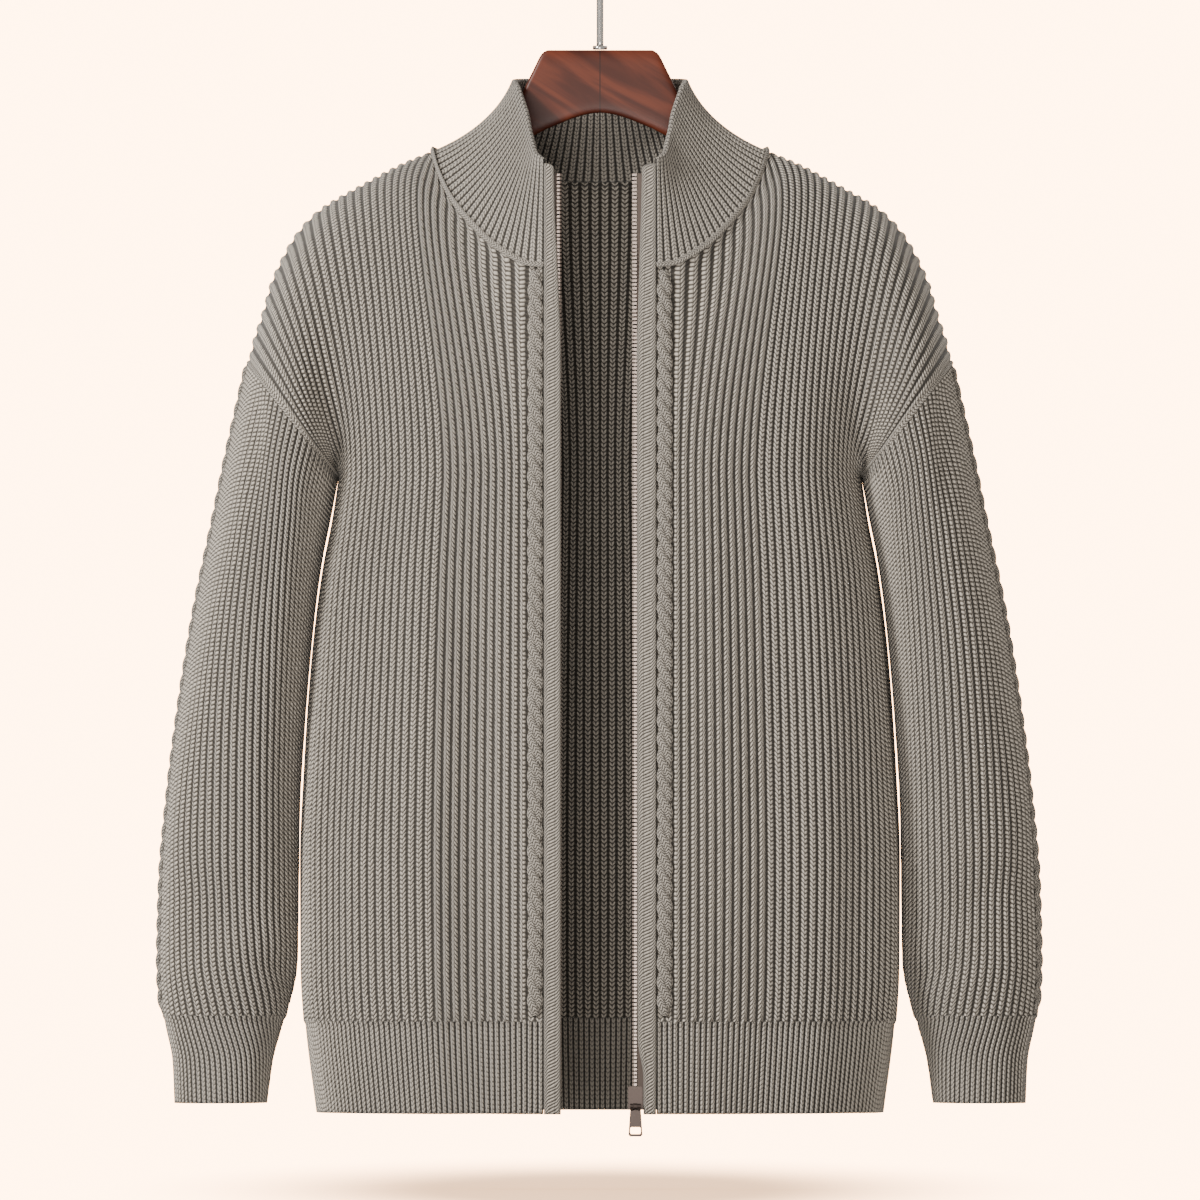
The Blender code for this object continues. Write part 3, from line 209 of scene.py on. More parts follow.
def panel(us, vs, face):
    """A panel's crest surface: v runs 0 to 1 down to the chest, and 1 to 2 down to the hem."""
    neck, shoulder, _ = rib_marks(face)
    sign = -1.0 if face == "front" else 1.0
    top, foot = panel_top(us, face), body_row(CHEST_Z, us, face)
    drop = foot - top
    length = np.linalg.norm(drop, axis=1)
    round_arm = np.array((0.0, sign * 4.0 / 3.0 * ARMHOLE_DEPTH, 0.0))
    at_neck = ease(np.maximum(us, 0.0) / neck)[:, None]
    leave = np.column_stack((np.zeros(len(us)), drop[:, 1:2] * (0.35 + 0.42 * at_neck),
                             drop[:, 2:3] * (0.33 - 0.27 * at_neck)))
    past = ease((us - neck) / (1.0 - neck))[:, None]
    leave = leave * (1 - past) + round_arm * past
    leave[:, 0] += NECK_SPREAD * np.exp(-(((us - neck) / 0.12) ** 2))
    side = ease((us - shoulder) / (1.0 - shoulder))[:, None]
    arrive = np.column_stack((np.zeros((len(us), 2)), 0.38 * length)) * (1 - side) + round_arm * side
    rows = []
    for v in vs:
        if v > 1.0:
            rows.append(body_row(CHEST_Z + (HEM_Z - CHEST_Z) * (v - 1.0), us, face))
            continue
        s = 1.0 - v
        rows.append(top * (s**3 + 3 * s * s * v) + leave * 3 * s * s * v + arrive * 3 * s * v * v
                    + foot * (3 * s * v * v + v**3))
    return np.array(rows)


def facings(grid, outwards):
    """Unit normals of a smooth grid, turned the way that outwards points."""
    normal = unit(np.cross(np.gradient(grid, axis=1), np.gradient(grid, axis=0)))
    return normal * np.sign((normal * outwards).sum())


def armhole_out(points):
    """The way the wall faces along the armhole's seam."""
    lean = unit(ARMHOLE_TOP - UNDERARM)
    half = np.linalg.norm(ARMHOLE_TOP - UNDERARM) / 2
    cos = np.clip((points - (ARMHOLE_TOP + UNDERARM) / 2) @ lean / half, -1, 1)[..., None]
    flat = unit(lean * cos / half + points * (0.0, 1.0 / ARMHOLE_DEPTH**2, 0.0))
    return unit(flat + ((1 - cos) / 2) ** 4 * (ARMPIT_OUT + lean))


def rib_relief(t):
    """How far the wall lies under the crest surface, t ribs along: a narrow chain between wide ditches."""
    across = np.abs(t % 1.0 - 0.5) * 2
    return RIB_DEPTH * ease((across - CHAIN_END) / DITCH_SLOPE)


def hem_step(v):
    """How far the hem rib lies under the wider rib above it."""
    return HEM_STEP * ease((v - HEM_V) / HEM_STEP_V)


# Soft creases of the cloth: where across and down a panel, half their spans, how deep, and how they slant.
BACK_CREASES = {
    "across": (0.80, 0.45, 0.18, 0.62, 0.05, 0.90),
    "down": (0.75, 1.55, 1.20, 1.35, 0.60, 1.60),
    "half_across": (0.10, 0.10, 0.08, 0.06, 0.12, 0.05),
    "half_down": (0.25, 0.40, 0.50, 0.35, 0.25, 0.25),
    "depth": (0.0030, 0.0035, 0.0022, -0.0016, 0.0020, 0.0024),
    "slant": (0.0, 0.02, -0.03, 0.05, 0.0, 0.04),
}


def creases(us, vs, table):
    """How deep each place of a panel lies in the soft creases, which fade out at its edges."""
    u, v = np.meshgrid(us, vs)
    depth = np.zeros_like(u)
    for across, down, half_across, half_down, deep, slant in zip(*table.values()):
        beside = (u - across - slant * (v - down)) / half_across
        depth += deep * np.exp(-(beside**2) - ((v - down) / half_down) ** 2)
    return depth * np.clip(u / 0.04, 0, 1) * np.clip((1 - u) / 0.04, 0, 1) * ease(v / 0.1)


def mesh_piece(name, points, faces, uvs=None, materials=(), slots=None):
    """A smooth-shaded mesh whose faces are turned outwards. uvs are per vertex."""
    mesh = bpy.data.meshes.new(name)
    mesh.from_pydata(np.asarray(points).tolist(), [], faces)
    if uvs is not None:
        layer = mesh.uv_layers.new(name="UVMap")
        index = np.zeros(len(mesh.loops), np.int32)
        mesh.loops.foreach_get("vertex_index", index)
        layer.data.foreach_set("uv", np.asarray(uvs, np.float32)[index].ravel())
    if slots is not None:
        mesh.polygons.foreach_set("material_index", np.asarray(slots, np.int32))
    shape = bmesh.new()
    shape.from_mesh(mesh)
    bmesh.ops.remove_doubles(shape, verts=shape.verts, dist=1e-7)
    bmesh.ops.recalc_face_normals(shape, faces=shape.faces)
    if shape.calc_volume(signed=True) < 0.0:
        bmesh.ops.reverse_faces(shape, faces=shape.faces)
    shape.to_mesh(mesh)
    shape.free()
    mesh.shade_smooth()
    for material in materials:
        mesh.materials.append(material)
    piece = bpy.data.objects.new(name, mesh)
    bpy.context.scene.collection.objects.link(piece)
    return piece


def quads(index):
    """The four-sided faces of a grid of vertex numbers."""
    corners = (index[:-1, :-1], index[1:, :-1], index[1:, 1:], index[:-1, 1:])
    return np.stack(corners, -1).reshape(-1, 4).tolist()


def shell(name, outer, inner, uvs, every, materials, lower):
    """A closed wall: the outer grid, the inner one on some of its columns and rows, and rims between them.

    lower marks the outer rows that take the second material.
    """
    rows, columns = outer.shape[:2]
    change = np.argmax(lower)
    r = np.unique(np.append(np.arange(0, rows, every[0]), (change - 1, change, rows - 1)))
    c = np.unique(np.append(np.arange(0, columns, every[1]), columns - 1))
    index = np.arange(rows * columns).reshape(rows, columns)
    inside = rows * columns + np.arange(len(r) * len(c)).reshape(len(r), len(c))
    faces = quads(index) + quads(inside)
    slots = np.append(np.repeat(lower[:-1], columns - 1), np.repeat(lower[r[:-1]], len(c) - 1))
    rims = []
    for edge, inner_edge, marks in ((index[0], inside[0], c), (index[-1], inside[-1], c),
                                    (index[:, 0], inside[:, 0], r), (index[:, -1], inside[:, -1], r)):
        for k in range(len(marks) - 1):
            rims.append([*edge[marks[k]: marks[k + 1] + 1], inner_edge[k + 1], inner_edge[k]])
    faces += [list(map(int, rim)) for rim in rims]
    slots = np.append(slots, np.zeros(len(rims), int))
    points = np.concatenate((outer.reshape(-1, 3), inner[np.ix_(r, c)].reshape(-1, 3)))
    uvs = np.concatenate((uvs.reshape(-1, 2), uvs[np.ix_(r, c)].reshape(-1, 2)))
    return mesh_piece(name, points, faces, uvs, materials, slots)


# The yarn's own colour (light), a painted shade for the low parts of its stitches and the gaps between rows
# (middle), and a deeper painted shade for the ditches between the ribs (dark).
YARN = {"light": (0.580, 0.524, 0.446), "middle": (0.062, 0.052, 0.040), "dark": (0.020, 0.016, 0.011)}
YARN_RELIEF = 0.0013


class Tree:
    """Short ways to add and join a material's nodes."""

    def __init__(self, name):
        self.material = bpy.data.materials.new(name)
        self.material.use_nodes = True
        self.tree = self.material.node_tree
        self.shader = self.tree.nodes["Principled BSDF"]

    def put(self, socket, value):
        if isinstance(value, bpy.types.NodeSocket):
            self.tree.links.new(value, socket)
        elif isinstance(value, (tuple, list)) and len(value) == 3 and socket.type == "RGBA":
            socket.default_value = (*value, 1.0)
        else:
            socket.default_value = value

    def node(self, kind, inputs=(), **settings):
        made = self.tree.nodes.new(kind)
        for key, value in settings.items():
            setattr(made, key, value)
        for key, value in dict(inputs).items():
            self.put(made.inputs[key], value)
        return made

    def math(self, operation, a, b=0.0, c=0.0):
        return self.node("ShaderNodeMath", {0: a, 1: b, 2: c}, operation=operation).outputs[0]

    def ramp(self, value, low, high):
        """0 below low and 1 above high, with soft ends."""
        made = self.node("ShaderNodeMapRange", {0: value, 1: low, 2: high}, interpolation_type="SMOOTHSTEP")
        return made.outputs[0]

    def mix(self, share, a, b):
        made = self.node("ShaderNodeMix", data_type="RGBA")
        self.put(made.inputs[0], share)
        self.put(made.inputs[6], a)
        self.put(made.inputs[7], b)
        return made.outputs[2]

    def bump(self, height, distance, strength=1.0):
        made = self.node("ShaderNodeBump", {"Height": height, "Distance": distance, "Strength": strength})
        self.put(self.shader.inputs["Normal"], made.outputs[0])

    def finish(self, colour, roughness, metallic=0.0):
        self.put(self.shader.inputs["Base Color"], colour)
        self.put(self.shader.inputs["Roughness"], roughness)
        self.put(self.shader.inputs["Metallic"], metallic)
        return self.material


def knit(name, slope=0.9, chain=(0.52, 0.82), dots=0.6, lean=0.0, ditch=1.0, tint=1.0, groove=0.22,
         gaps=1.7):
    """Knitted yarn: u counts ribs across and v counts stitches down.

    slope is how far a stitch's legs rise from the rib's middle, chain where they end and the ditch begins,
    dots how much the bars between the rows break up the ditch's painted shade, lean how far the rows slant
    across, groove how wide the line between a stitch's legs is, and gaps how wide the painted shade between
    the rows is.
    tint and ditch make the yarn and the painted shade in the ditch paler or deeper. The stitches' crests take
    the yarn's colour, their low parts and the gaps between the rows a painted shade, and the ditches a deeper
    painted shade.
    """
    tree = Tree(name)
    uv = tree.node("ShaderNodeUVMap", uv_map="UVMap").outputs[0]
    # The yarn wanders a little, so that no two stitches are quite alike.
    wander = tree.node("ShaderNodeTexNoise", {"Vector": uv, "Scale": 0.7, "Detail": 2.0}).outputs[0]
    wander = tree.math("SUBTRACT", wander, 0.5)
    apart = tree.node("ShaderNodeSeparateXYZ", {0: uv})
    u = tree.math("MULTIPLY_ADD", wander, 0.14, apart.outputs[0])
    v = tree.math("MULTIPLY_ADD", wander, 0.50, apart.outputs[1])
    across = tree.math("ABSOLUTE", tree.math("SUBTRACT", tree.math("FRACT", u), 0.5))
    across = tree.math("MULTIPLY", across, 2.0)
    row = tree.math("MULTIPLY_ADD", u, lean, tree.math("MULTIPLY_ADD", across, slope, v))
    wave = tree.math("ABSOLUTE", tree.math("SINE", tree.math("MULTIPLY", row, math.pi)))
    leg = tree.math("POWER", wave, gaps)
    middle = tree.math("MULTIPLY_ADD", tree.ramp(across, 0.0, groove), 0.65, 0.35)
    between = tree.ramp(across, *chain)
    height = tree.math("MULTIPLY", tree.math("MULTIPLY", leg, middle), tree.math("SUBTRACT", 1.0, between))
    # In the ditch, a short bar of yarn crosses between one row and the next.
    bar = tree.math("SINE", tree.math("MULTIPLY", tree.math("ADD", v, slope * 0.8 + 0.5), 2 * math.pi))
    bar = tree.math("MULTIPLY", tree.ramp(bar, -0.2, 0.9), tree.math("MULTIPLY", between, dots))
    fleck = tree.node("ShaderNodeTexNoise", {"Vector": uv, "Scale": 6.0, "Detail": 3.0,
                                             "Roughness": 0.7}).outputs[0]
    patch = tree.node("ShaderNodeTexNoise", {"Vector": uv, "Scale": 0.05, "Detail": 2.0}).outputs[0]
    # The crests take the yarn's colour (light), the low parts of the stitches a painted shade (mid), and the
    # ditch a deeper painted shade (dark) where no bar crosses it.
    light, mid, dark = (tuple(part * share for part in YARN[key])
                        for key, share in (("light", tint), ("middle", tint), ("dark", ditch)))
    yarn = tree.mix(tree.ramp(height, 0.10, 0.62), mid, light)
    painted_ditch_shade = tree.math("MULTIPLY", between, tree.math("SUBTRACT", 1.0, bar))
    colour = tree.mix(painted_ditch_shade, yarn, dark)
    shade = tree.math("MULTIPLY_ADD", fleck, 0.60, tree.math("MULTIPLY_ADD", patch, 0.20, 0.60))
    shade = tree.node("ShaderNodeCombineXYZ", {0: shade, 1: shade, 2: shade}).outputs[0]
    colour = tree.node("ShaderNodeVectorMath", {0: colour, 1: shade}, operation="MULTIPLY").outputs[0]
    raised = tree.math("MULTIPLY_ADD", bar, 0.45, height)
    tree.bump(tree.math("MULTIPLY_ADD", fleck, 0.30, raised), YARN_RELIEF)
    tree.put(tree.shader.inputs["Sheen Weight"], 0.20)
    tree.put(tree.shader.inputs["Sheen Roughness"], 0.6)
    return tree.finish(colour, 0.92)


half_cardigan = knit("half_cardigan_rib")
hem_rib = knit("hem_rib", slope=0.7, chain=(0.45, 0.85), dots=0.35, tint=0.86, gaps=0.7)


def dress(piece, node, body="garment"):
    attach(piece, body)
    if node:
        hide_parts(node)
    return piece


def down_lengths(grid):
    """How far down its column each point of a grid lies."""
    steps = np.linalg.norm(np.diff(grid, axis=0), axis=2)
    return np.vstack((np.zeros(grid.shape[1]), np.cumsum(steps, axis=0)))


def panel_facing(grid, us, vs, face):
    """The way that each place of a panel faces. Along its seams it lies in the seam's own plane."""
    sign = -1.0 if face == "front" else 1.0
    outwards = np.stack((grid[..., 0] * 2, np.where(grid[..., 1] * sign > 0, grid[..., 1], 0) + sign * 0.01,
                         np.full(grid.shape[:2], 0.05)), -1)
    normal = facings(grid, outwards)
    armhole = (ease((us[None, :] - 0.94) / 0.06) * (vs[:, None] <= 1.0))[..., None]
    normal = unit(normal * (1 - armhole) + armhole_out(grid) * armhole)
    side_seam = (us >= 1.0)[None, :] & (vs > 1.0)[:, None]
    shoulder_seam = (us >= rib_marks(face)[0])[None, :] & (vs <= 0.0)[:, None]
    normal = unit(np.where((side_seam | shoulder_seam)[..., None], normal * (1.0, 0.0, 1.0), normal))
    if face == "back":
        normal[:, 0] = unit(normal[:, 0] * (0.0, 1.0, 1.0))
    else:
        normal[..., 0] *= np.clip(1 + us / CABLE_WIDTH, 0, 1)
    return unit(normal)


def panel_wall(face, columns, rows, table):
    """A panel's outer and inner grids and their places, from the middle to the side."""
    sign, total = -1.0 if face == "front" else 1.0, rib_marks(face)[2]
    us = np.linspace(0.0, 1.0, columns * total + 1)
    if face == "front":
        us = np.concatenate((np.linspace(-CABLE_WIDTH, 0, 2 * columns + 1)[:-1], us))
    vs = np.concatenate((np.linspace(0, 1, rows // 2)[:-1], np.linspace(1, HEM_V, rows // 3)[:-1],
                         [HEM_V - ROW_ABOVE], np.linspace(HEM_V, HEM_V + HEM_STEP_V, 4)[:-1],
                         np.linspace(HEM_V + HEM_STEP_V, 2, rows // 8)))
    grid = panel(us, vs, face)
    # The cloth spans the neckline's end softly: columns are evened across, but not along the seams.
    share = ((ease(us / 0.10) * ease((1 - us) / 0.10))[None, :]
             * (ease(vs / 0.10) * ease((1.25 - vs) / 0.3))[:, None])
    for _ in range(60 * columns):
        evened = (grid[:, :-2] + grid[:, 2:]) / 2 - grid[:, 1:-1]
        grid[:, 1:-1] += evened * 0.8 * share[:, 1:-1, None]
    normal = panel_facing(grid, us, vs, face)
    ribs = np.where(us < 0, us / CABLE_WIDTH * 2, us * total) * np.where(vs < HEM_V, 1.0, HEM_FINER)[:, None]
    # Above the hem, the strip behind the cable is flat.
    cable_strip = (vs < HEM_V)[:, None] & (us < 0)[None, :]
    relief = np.where(cable_strip, RIB_DEPTH, rib_relief(ribs))
    sunk = creases(us, vs, table) + hem_step(vs)[:, None]
    skin = grid - normal * (relief + sunk)[..., None]
    inside = grid - normal * (WALL + sunk)[..., None]
    for wall in (skin, inside):
        wall[..., 1] = sign * np.maximum(sign * wall[..., 1], GAP / 2)
    uvs = np.stack((ribs, down_lengths(grid) / STITCH), -1)
    return skin, inside, uvs, vs >= HEM_V


def mirrored(grid, times=(-1.0, 1.0, 1.0)):
    """A half's grid with its mirror image before it."""
    return np.concatenate((grid[:, :0:-1] * times, grid), axis=1)


skin, inside, uvs, lower = panel_wall("back", 6, 130, BACK_CREASES)
back = shell("back_knit", mirrored(skin), mirrored(inside), mirrored(uvs, (-1.0, 1.0)), (4, 6),
             (half_cardigan, hem_rib), lower)
dress(back, "back")

# ---- Front panels ----
# Two knitted panels in the same rib, each with its hem rib and a flat strip for the cable beside the opening.
# They are joined to the back along the shoulder ridges and the side seams.
SIDES = {"left": 1.0, "right": -1.0}
FRONT_CREASES = {
    "left": {
        "across": (0.76, 0.34, 0.62, 0.13, 0.90, 0.47, 0.80),
        "down": (0.72, 1.50, 1.66, 1.05, 1.40, 0.95, 1.75),
        "half_across": (0.12, 0.10, 0.09, 0.07, 0.06, 0.08, 0.06),
        "half_down": (0.26, 0.42, 0.30, 0.55, 0.30, 0.40, 0.22),
        "depth": (0.0034, 0.0036, 0.0040, -0.0018, 0.0026, -0.0016, -0.0018),
        "slant": (0.0, 0.03, -0.04, 0.02, 0.05, 0.04, -0.06),
    },
    "right": {
        "across": (0.78, 0.17, 0.50, 0.34, 0.66, 0.90, 0.72),
        "down": (0.68, 1.56, 1.30, 1.45, 1.55, 1.35, 0.95),
        "half_across": (0.12, 0.10, 0.10, 0.08, 0.07, 0.06, 0.07),
        "half_down": (0.24, 0.42, 0.35, 0.50, 0.34, 0.32, 0.30),
        "depth": (0.0032, 0.0070, 0.0022, -0.0026, 0.0030, 0.0026, -0.0016),
        "slant": (0.0, -0.03, 0.02, -0.04, 0.05, 0.04, -0.05),
    },
}

for side, sign in SIDES.items():
    skin, inside, uvs, lower = panel_wall("front", 8, 170, FRONT_CREASES[side])
    piece = shell("front_%s_knit" % side, skin * (sign, 1, 1), inside * (sign, 1, 1), uvs * (sign, 1), (4, 8),
                  (half_cardigan, hem_rib), lower)
    dress(piece, "front_" + side)

# ---- Sleeves ----
# Dropped sleeves in the same rib, knitted flat and closed by an underarm seam, with a ribbed cuff knitted on.
# The ribs keep their width down the sleeve and run out into the underarm seam.
SLEEVE = {
    "outer_x": (0.2492, 0.2552, 0.2648, 0.2733, 0.2867, 0.2970, 0.3051, 0.3108, 0.3122, 0.3100,
                0.3041, 0.3027),
    "outer_z": (-0.308, -0.335, -0.378, -0.420, -0.484, -0.548, -0.611, -0.675, -0.732, -0.771,
                -0.803, -0.833),
    "inner_x": (0.1850, 0.1906, 0.1957, 0.2002, 0.2050, 0.2090, 0.2122, 0.2130, 0.2138, 0.2216,
                0.2301, 0.2343),
    "inner_z": (-0.390, -0.420, -0.445, -0.475, -0.520, -0.570, -0.625, -0.680, -0.732, -0.771,
                -0.803, -0.833),
    "depth": (0.086, 0.0855, 0.084, 0.081, 0.075, 0.068, 0.060, 0.053, 0.047, 0.038, 0.032, 0.031),
}
SLEEVE_POWER = 2.2
CUFF_V, CUFF_STEP_V = 9 / 11, 0.01
CABLE_TURN = {"left": 14.0, "right": 4.0}  # degrees forwards of the outer fold
SLEEVE_RIB = 0.0059
SEAM_FLAT = 0.0015  # how much of the cloth beside the underarm seam has no rib
CREASES_ROUND = {"left": 0.8, "right": 1.0}  # the left sleeve's creases lie closer to its cable
# Creases round a sleeve: down it, how far round from the cable (forwards), half-spans, depth and slant.
SLEEVE_CREASES = {
    "down": (0.66, 0.70, 0.60, 0.12, 0.30, 0.45, 0.74, 0.55),
    "round": (0.075, 0.055, -0.090, 0.070, 0.100, -0.060, 0.110, 0.030),
    "half_down": (0.040, 0.025, 0.05, 0.10, 0.12, 0.10, 0.030, 0.09),
    "half_round": (0.035, 0.020, 0.030, 0.014, 0.016, 0.020, 0.020, 0.018),
    "depth": (0.0052, 0.0018, 0.0036, 0.0034, 0.0024, 0.0026, 0.0036, -0.0018),
    "slant": (0.25, -0.20, 0.2, 0.10, -0.08, 0.06, 0.30, 0.10),
}


def squared(turns, power):
    """The cosine and the sine of a turn, for an oval that a power below 1 makes squarer."""
    return [np.sign(f(turns)) * np.abs(f(turns)) ** power for f in (np.cos, np.sin)]


def armhole_depths(around):
    """How far forwards the armhole's seam lies, as shares of its depth, round from its top."""
    place = 0.5 - np.sin(np.arcsin(np.clip(np.cos(around), -1, 1)) / 3)
    return np.sign(np.sin(around)) * 4 * place * (1 - place)


def sleeve_grid(vs, turn, places):
    """A sleeve's crest surface, its facing, and where its columns end in the underarm seam."""
    knots, dense, around = np.arange(len(SLEEVE["depth"])), [], np.linspace(-math.pi, math.pi, 361)
    for v in vs:
        ox, oz, ix, iz, depth = (smooth_table(v * (len(knots) - 1), knots, SLEEVE[k])
                                 for k in ("outer_x", "outer_z", "inner_x", "inner_z", "depth"))
        middle = np.array(((ox + ix) / 2, 0, (oz + iz) / 2))
        half = np.array(((ox - ix) / 2, 0, (oz - iz) / 2))
        cos, sin = squared(around, 2.0 / SLEEVE_POWER)
        if v <= 0.0:
            cos, sin = np.cos(around), armhole_depths(around)
        dense.append(middle + np.outer(cos, half) - np.outer(sin, (0.0, depth, 0.0)))
    dense = np.array(dense)
    centre = dense.mean(axis=1, keepdims=True)
    ringed = np.concatenate((dense[:, -3:-1], dense, dense[:, 1:3]), axis=1)
    normal = unit(np.cross(np.gradient(ringed, axis=1), np.gradient(ringed, axis=0)))[:, 2:-2]
    normal = normal * np.where(((dense - centre) * normal).sum(-1, keepdims=True) < 0, -1.0, 1.0)
    top = ease(1 - vs / 0.05)[:, None, None]
    normal = unit(normal * (1 - top) + armhole_out(dense) * top)
    points, faces_out, ends = [], [], []
    for curve, out in zip(dense, normal):
        length = lengths(curve)
        length = length - np.interp(math.radians(turn), around, length)
        want = np.clip(places, length[0], length[-1])
        points.append(at(curve, length, want))
        faces_out.append(unit(at(out, length, want)))
        ends.append((length[0], length[-1]))
    return np.array(points), np.array(faces_out), np.array(ends)


def sleeve_columns(turn, per_rib):
    """Places round a sleeve, from the cable both ways to past the underarm seam."""
    ends = sleeve_grid(np.linspace(0, 1, 30), turn, np.zeros(1))[2]
    edge = CABLE_WIDTH / 2
    behind, ahead = (edge + np.arange(0, (reach - edge) / SLEEVE_RIB + 1, 1 / per_rib) * SLEEVE_RIB
                     for reach in (-ends[:, 0].min(), ends[:, 1].max()))
    return np.concatenate((-behind[::-1], ahead))


for side, sign in SIDES.items():
    turn = CABLE_TURN[side]
    places = sleeve_columns(turn, 6)
    vs = np.concatenate((np.linspace(0, CUFF_V, 110)[:-1], [CUFF_V - ROW_ABOVE],
                         np.linspace(CUFF_V, CUFF_V + CUFF_STEP_V, 4)[:-1],
                         np.linspace(CUFF_V + CUFF_STEP_V, 1, 18)))
    grid, normal, ends = sleeve_grid(vs, turn, places)
    ribs = np.where((vs < CUFF_V)[:, None], (np.abs(places) - CABLE_WIDTH / 2) / SLEEVE_RIB,
                    places / SLEEVE_RIB * HEM_FINER)
    by_seam = (places >= ends[:, 1:] - SEAM_FLAT) | (places <= ends[:, :1] + SEAM_FLAT)
    relief = np.where(by_seam, RIB_DEPTH, rib_relief(ribs))
    sunk = HEM_STEP * ease((vs - CUFF_V) / CUFF_STEP_V)[:, None] * np.ones((1, len(places)))
    for down, round_, half_down, half_round, deep, slant in zip(*SLEEVE_CREASES.values()):
        below = vs[:, None] - down
        beside = (places - round_ * CREASES_ROUND[side] - slant * below) / half_round
        sunk += deep * np.exp(-(beside**2) - (below / half_down) ** 2) * ease(vs / 0.06)[:, None]
    skin = grid - normal * (relief + sunk)[..., None]
    inside = grid - normal * (WALL + sunk)[..., None]
    uvs = np.stack((ribs, down_lengths(grid) / STITCH), -1)
    piece = shell("sleeve_%s_knit" % side, skin * (sign, 1, 1), inside * (sign, 1, 1), uvs * (sign, 1),
                  (4, 6), (half_cardigan, hem_rib), vs >= CUFF_V)
    dress(piece, "sleeve_" + side)

# ---- Collar ----
# A stand-up collar of doubled rib, linked to the neckline. Its ribs fan out from the top fold to the seam.
# Half of it is laid out from the back's middle to the band, and the other half is its mirror image.
COLLAR_WALL, COLLAR_RIBS, COLLAR_DITCH = 0.0046, 50, 0.0012
COLLAR_HOLLOW = 0.0075  # how far its sides curve in between the seam and the fold
COLLAR_TOP = {
    "x": (0.0, 0.0300, 0.0520, 0.0625, 0.0600, 0.0535, 0.0500, 0.0474, 0.0425, 0.0398),
    "y": (0.0480, 0.0430, 0.0280, 0.0060, -0.0160, -0.0360, -0.0530, -0.0680, -0.0770, -0.0795),
    "z": (-0.1090, -0.1090, -0.1085, -0.1090, -0.1135, -0.1310, -0.1490, -0.1610, -0.1655, -0.1670),
}


def neck_seam():
    """Half the neckline's seam, from the back's middle to the band."""
    turn = np.linspace(0.0, math.pi / 2, 60)
    start = math.acos((BAND_OUTER + GAP) / NECK_HALF)
    return np.vstack((neck_point(NECK_HALF * np.sin(turn), "back"),
                      neck_point(NECK_HALF * np.cos(np.linspace(0.0, start, 60)[1:]), "front")))


def collar_grid(us, vs):
    """The collar's outer surface: us go round to the band, and vs go up from the seam to the fold."""
    foot = along(neck_seam(), us)
    knots, fine = np.arange(len(COLLAR_TOP["x"])), np.linspace(0, len(COLLAR_TOP["x"]) - 1, 160)
    top = along(np.column_stack([smooth_table(fine, knots, COLLAR_TOP[k]) for k in "xyz"]), us)
    side = np.sin(math.pi * np.minimum(us / 0.9, 1.0))[:, None] ** 2
    lean = unit(np.column_stack((foot[:, 0], foot[:, 1] * 0.5, np.full(len(us), 0.08))))
    hold = (foot + top) / 2 - lean * 2 * COLLAR_HOLLOW * side
    v = vs[:, None, None]
    return foot * (1 - v) ** 2 + hold * 2 * v * (1 - v) + top * v * v


collar_rib = knit("collar_rib", slope=0.7, chain=(0.48, 0.92), dots=0.3, tint=0.80, gaps=0.8)
us, vs = np.linspace(0, 1, COLLAR_RIBS * 5 + 1), np.linspace(0, 1, 34)
grid = collar_grid(us, vs)
normal = facings(grid, np.stack((grid[..., 0], grid[..., 1], np.full(grid.shape[:2], 0.02)), -1))
for end in (0, -1):
    normal[:, end] = unit(normal[:, end] * (0.0, 1.0, 1.0))
# The wall goes up the outside, round the fold and down the inside.
up = unit(np.gradient(grid, axis=0))[-1]
fold = [grid[-1] + COLLAR_WALL / 2 * (normal[-1] * (math.cos(a) - 1) + up * math.sin(a) * 0.8)
        for a in np.linspace(0, math.pi, 9)[1:-1]]
around = us * COLLAR_RIBS
cut = (1.0 - np.sqrt(np.clip(1.0 - (np.abs(around % 1.0 - 0.5) * 2) ** 2.2, 0, 1))) * COLLAR_DITCH
fade = 1 - 0.8 * ease((vs - 0.80) / 0.2)[:, None, None]
outside = grid - normal * cut[None, :, None] * fade
lining = grid - normal * (COLLAR_WALL - 0.8 * cut[None, :, None] * fade)
sheet = np.concatenate((outside, np.array(fold), lining[::-1]), axis=0)
down = down_lengths(sheet) / STITCH * 1.15
uvs = np.stack((around[None, :] * np.ones((len(sheet), 1)), down), -1)
both, places = mirrored(sheet), mirrored(uvs, (-1.0, 1.0))
count = both.shape[1]
index = np.arange(both.shape[0] * count).reshape(both.shape[0], count)
faces = quads(index)
faces += np.stack((index[0, :-1], index[0, 1:], index[-1, 1:], index[-1, :-1]), -1).tolist()
for end in (0, -1):
    ring = index[:, end]
    for k in range(len(sheet) // 2):
        quad = [int(ring[k]), int(ring[k + 1]), int(ring[-2 - k]), int(ring[-1 - k])]
        faces.append(quad if len(set(quad)) == 4 else sorted(set(quad), key=quad.index))
collar = mesh_piece("collar_knit", both.reshape(-1, 3), faces, places.reshape(-1, 2), (collar_rib,))
dress(collar, "collar")

# ---- Linking chains along the seams ----
# The collar and the sleeves are linked to the body, and a chain of small stitches shows along each seam.
# Each chain is a slightly raised flat tube of plain knitting that follows its seam's line.
COLLAR_CHAIN, ARMHOLE_CHAIN = (0.0022, 0.0007), (0.0017, 0.0011)  # half their widths and half their heights
FINE_STITCH, CHAIN_STITCH = 0.0024, 0.0026
plain_knit = knit("plain_knit", slope=1.0, chain=(0.85, 1.2), ditch=2.0, tint=0.95, groove=0.10)


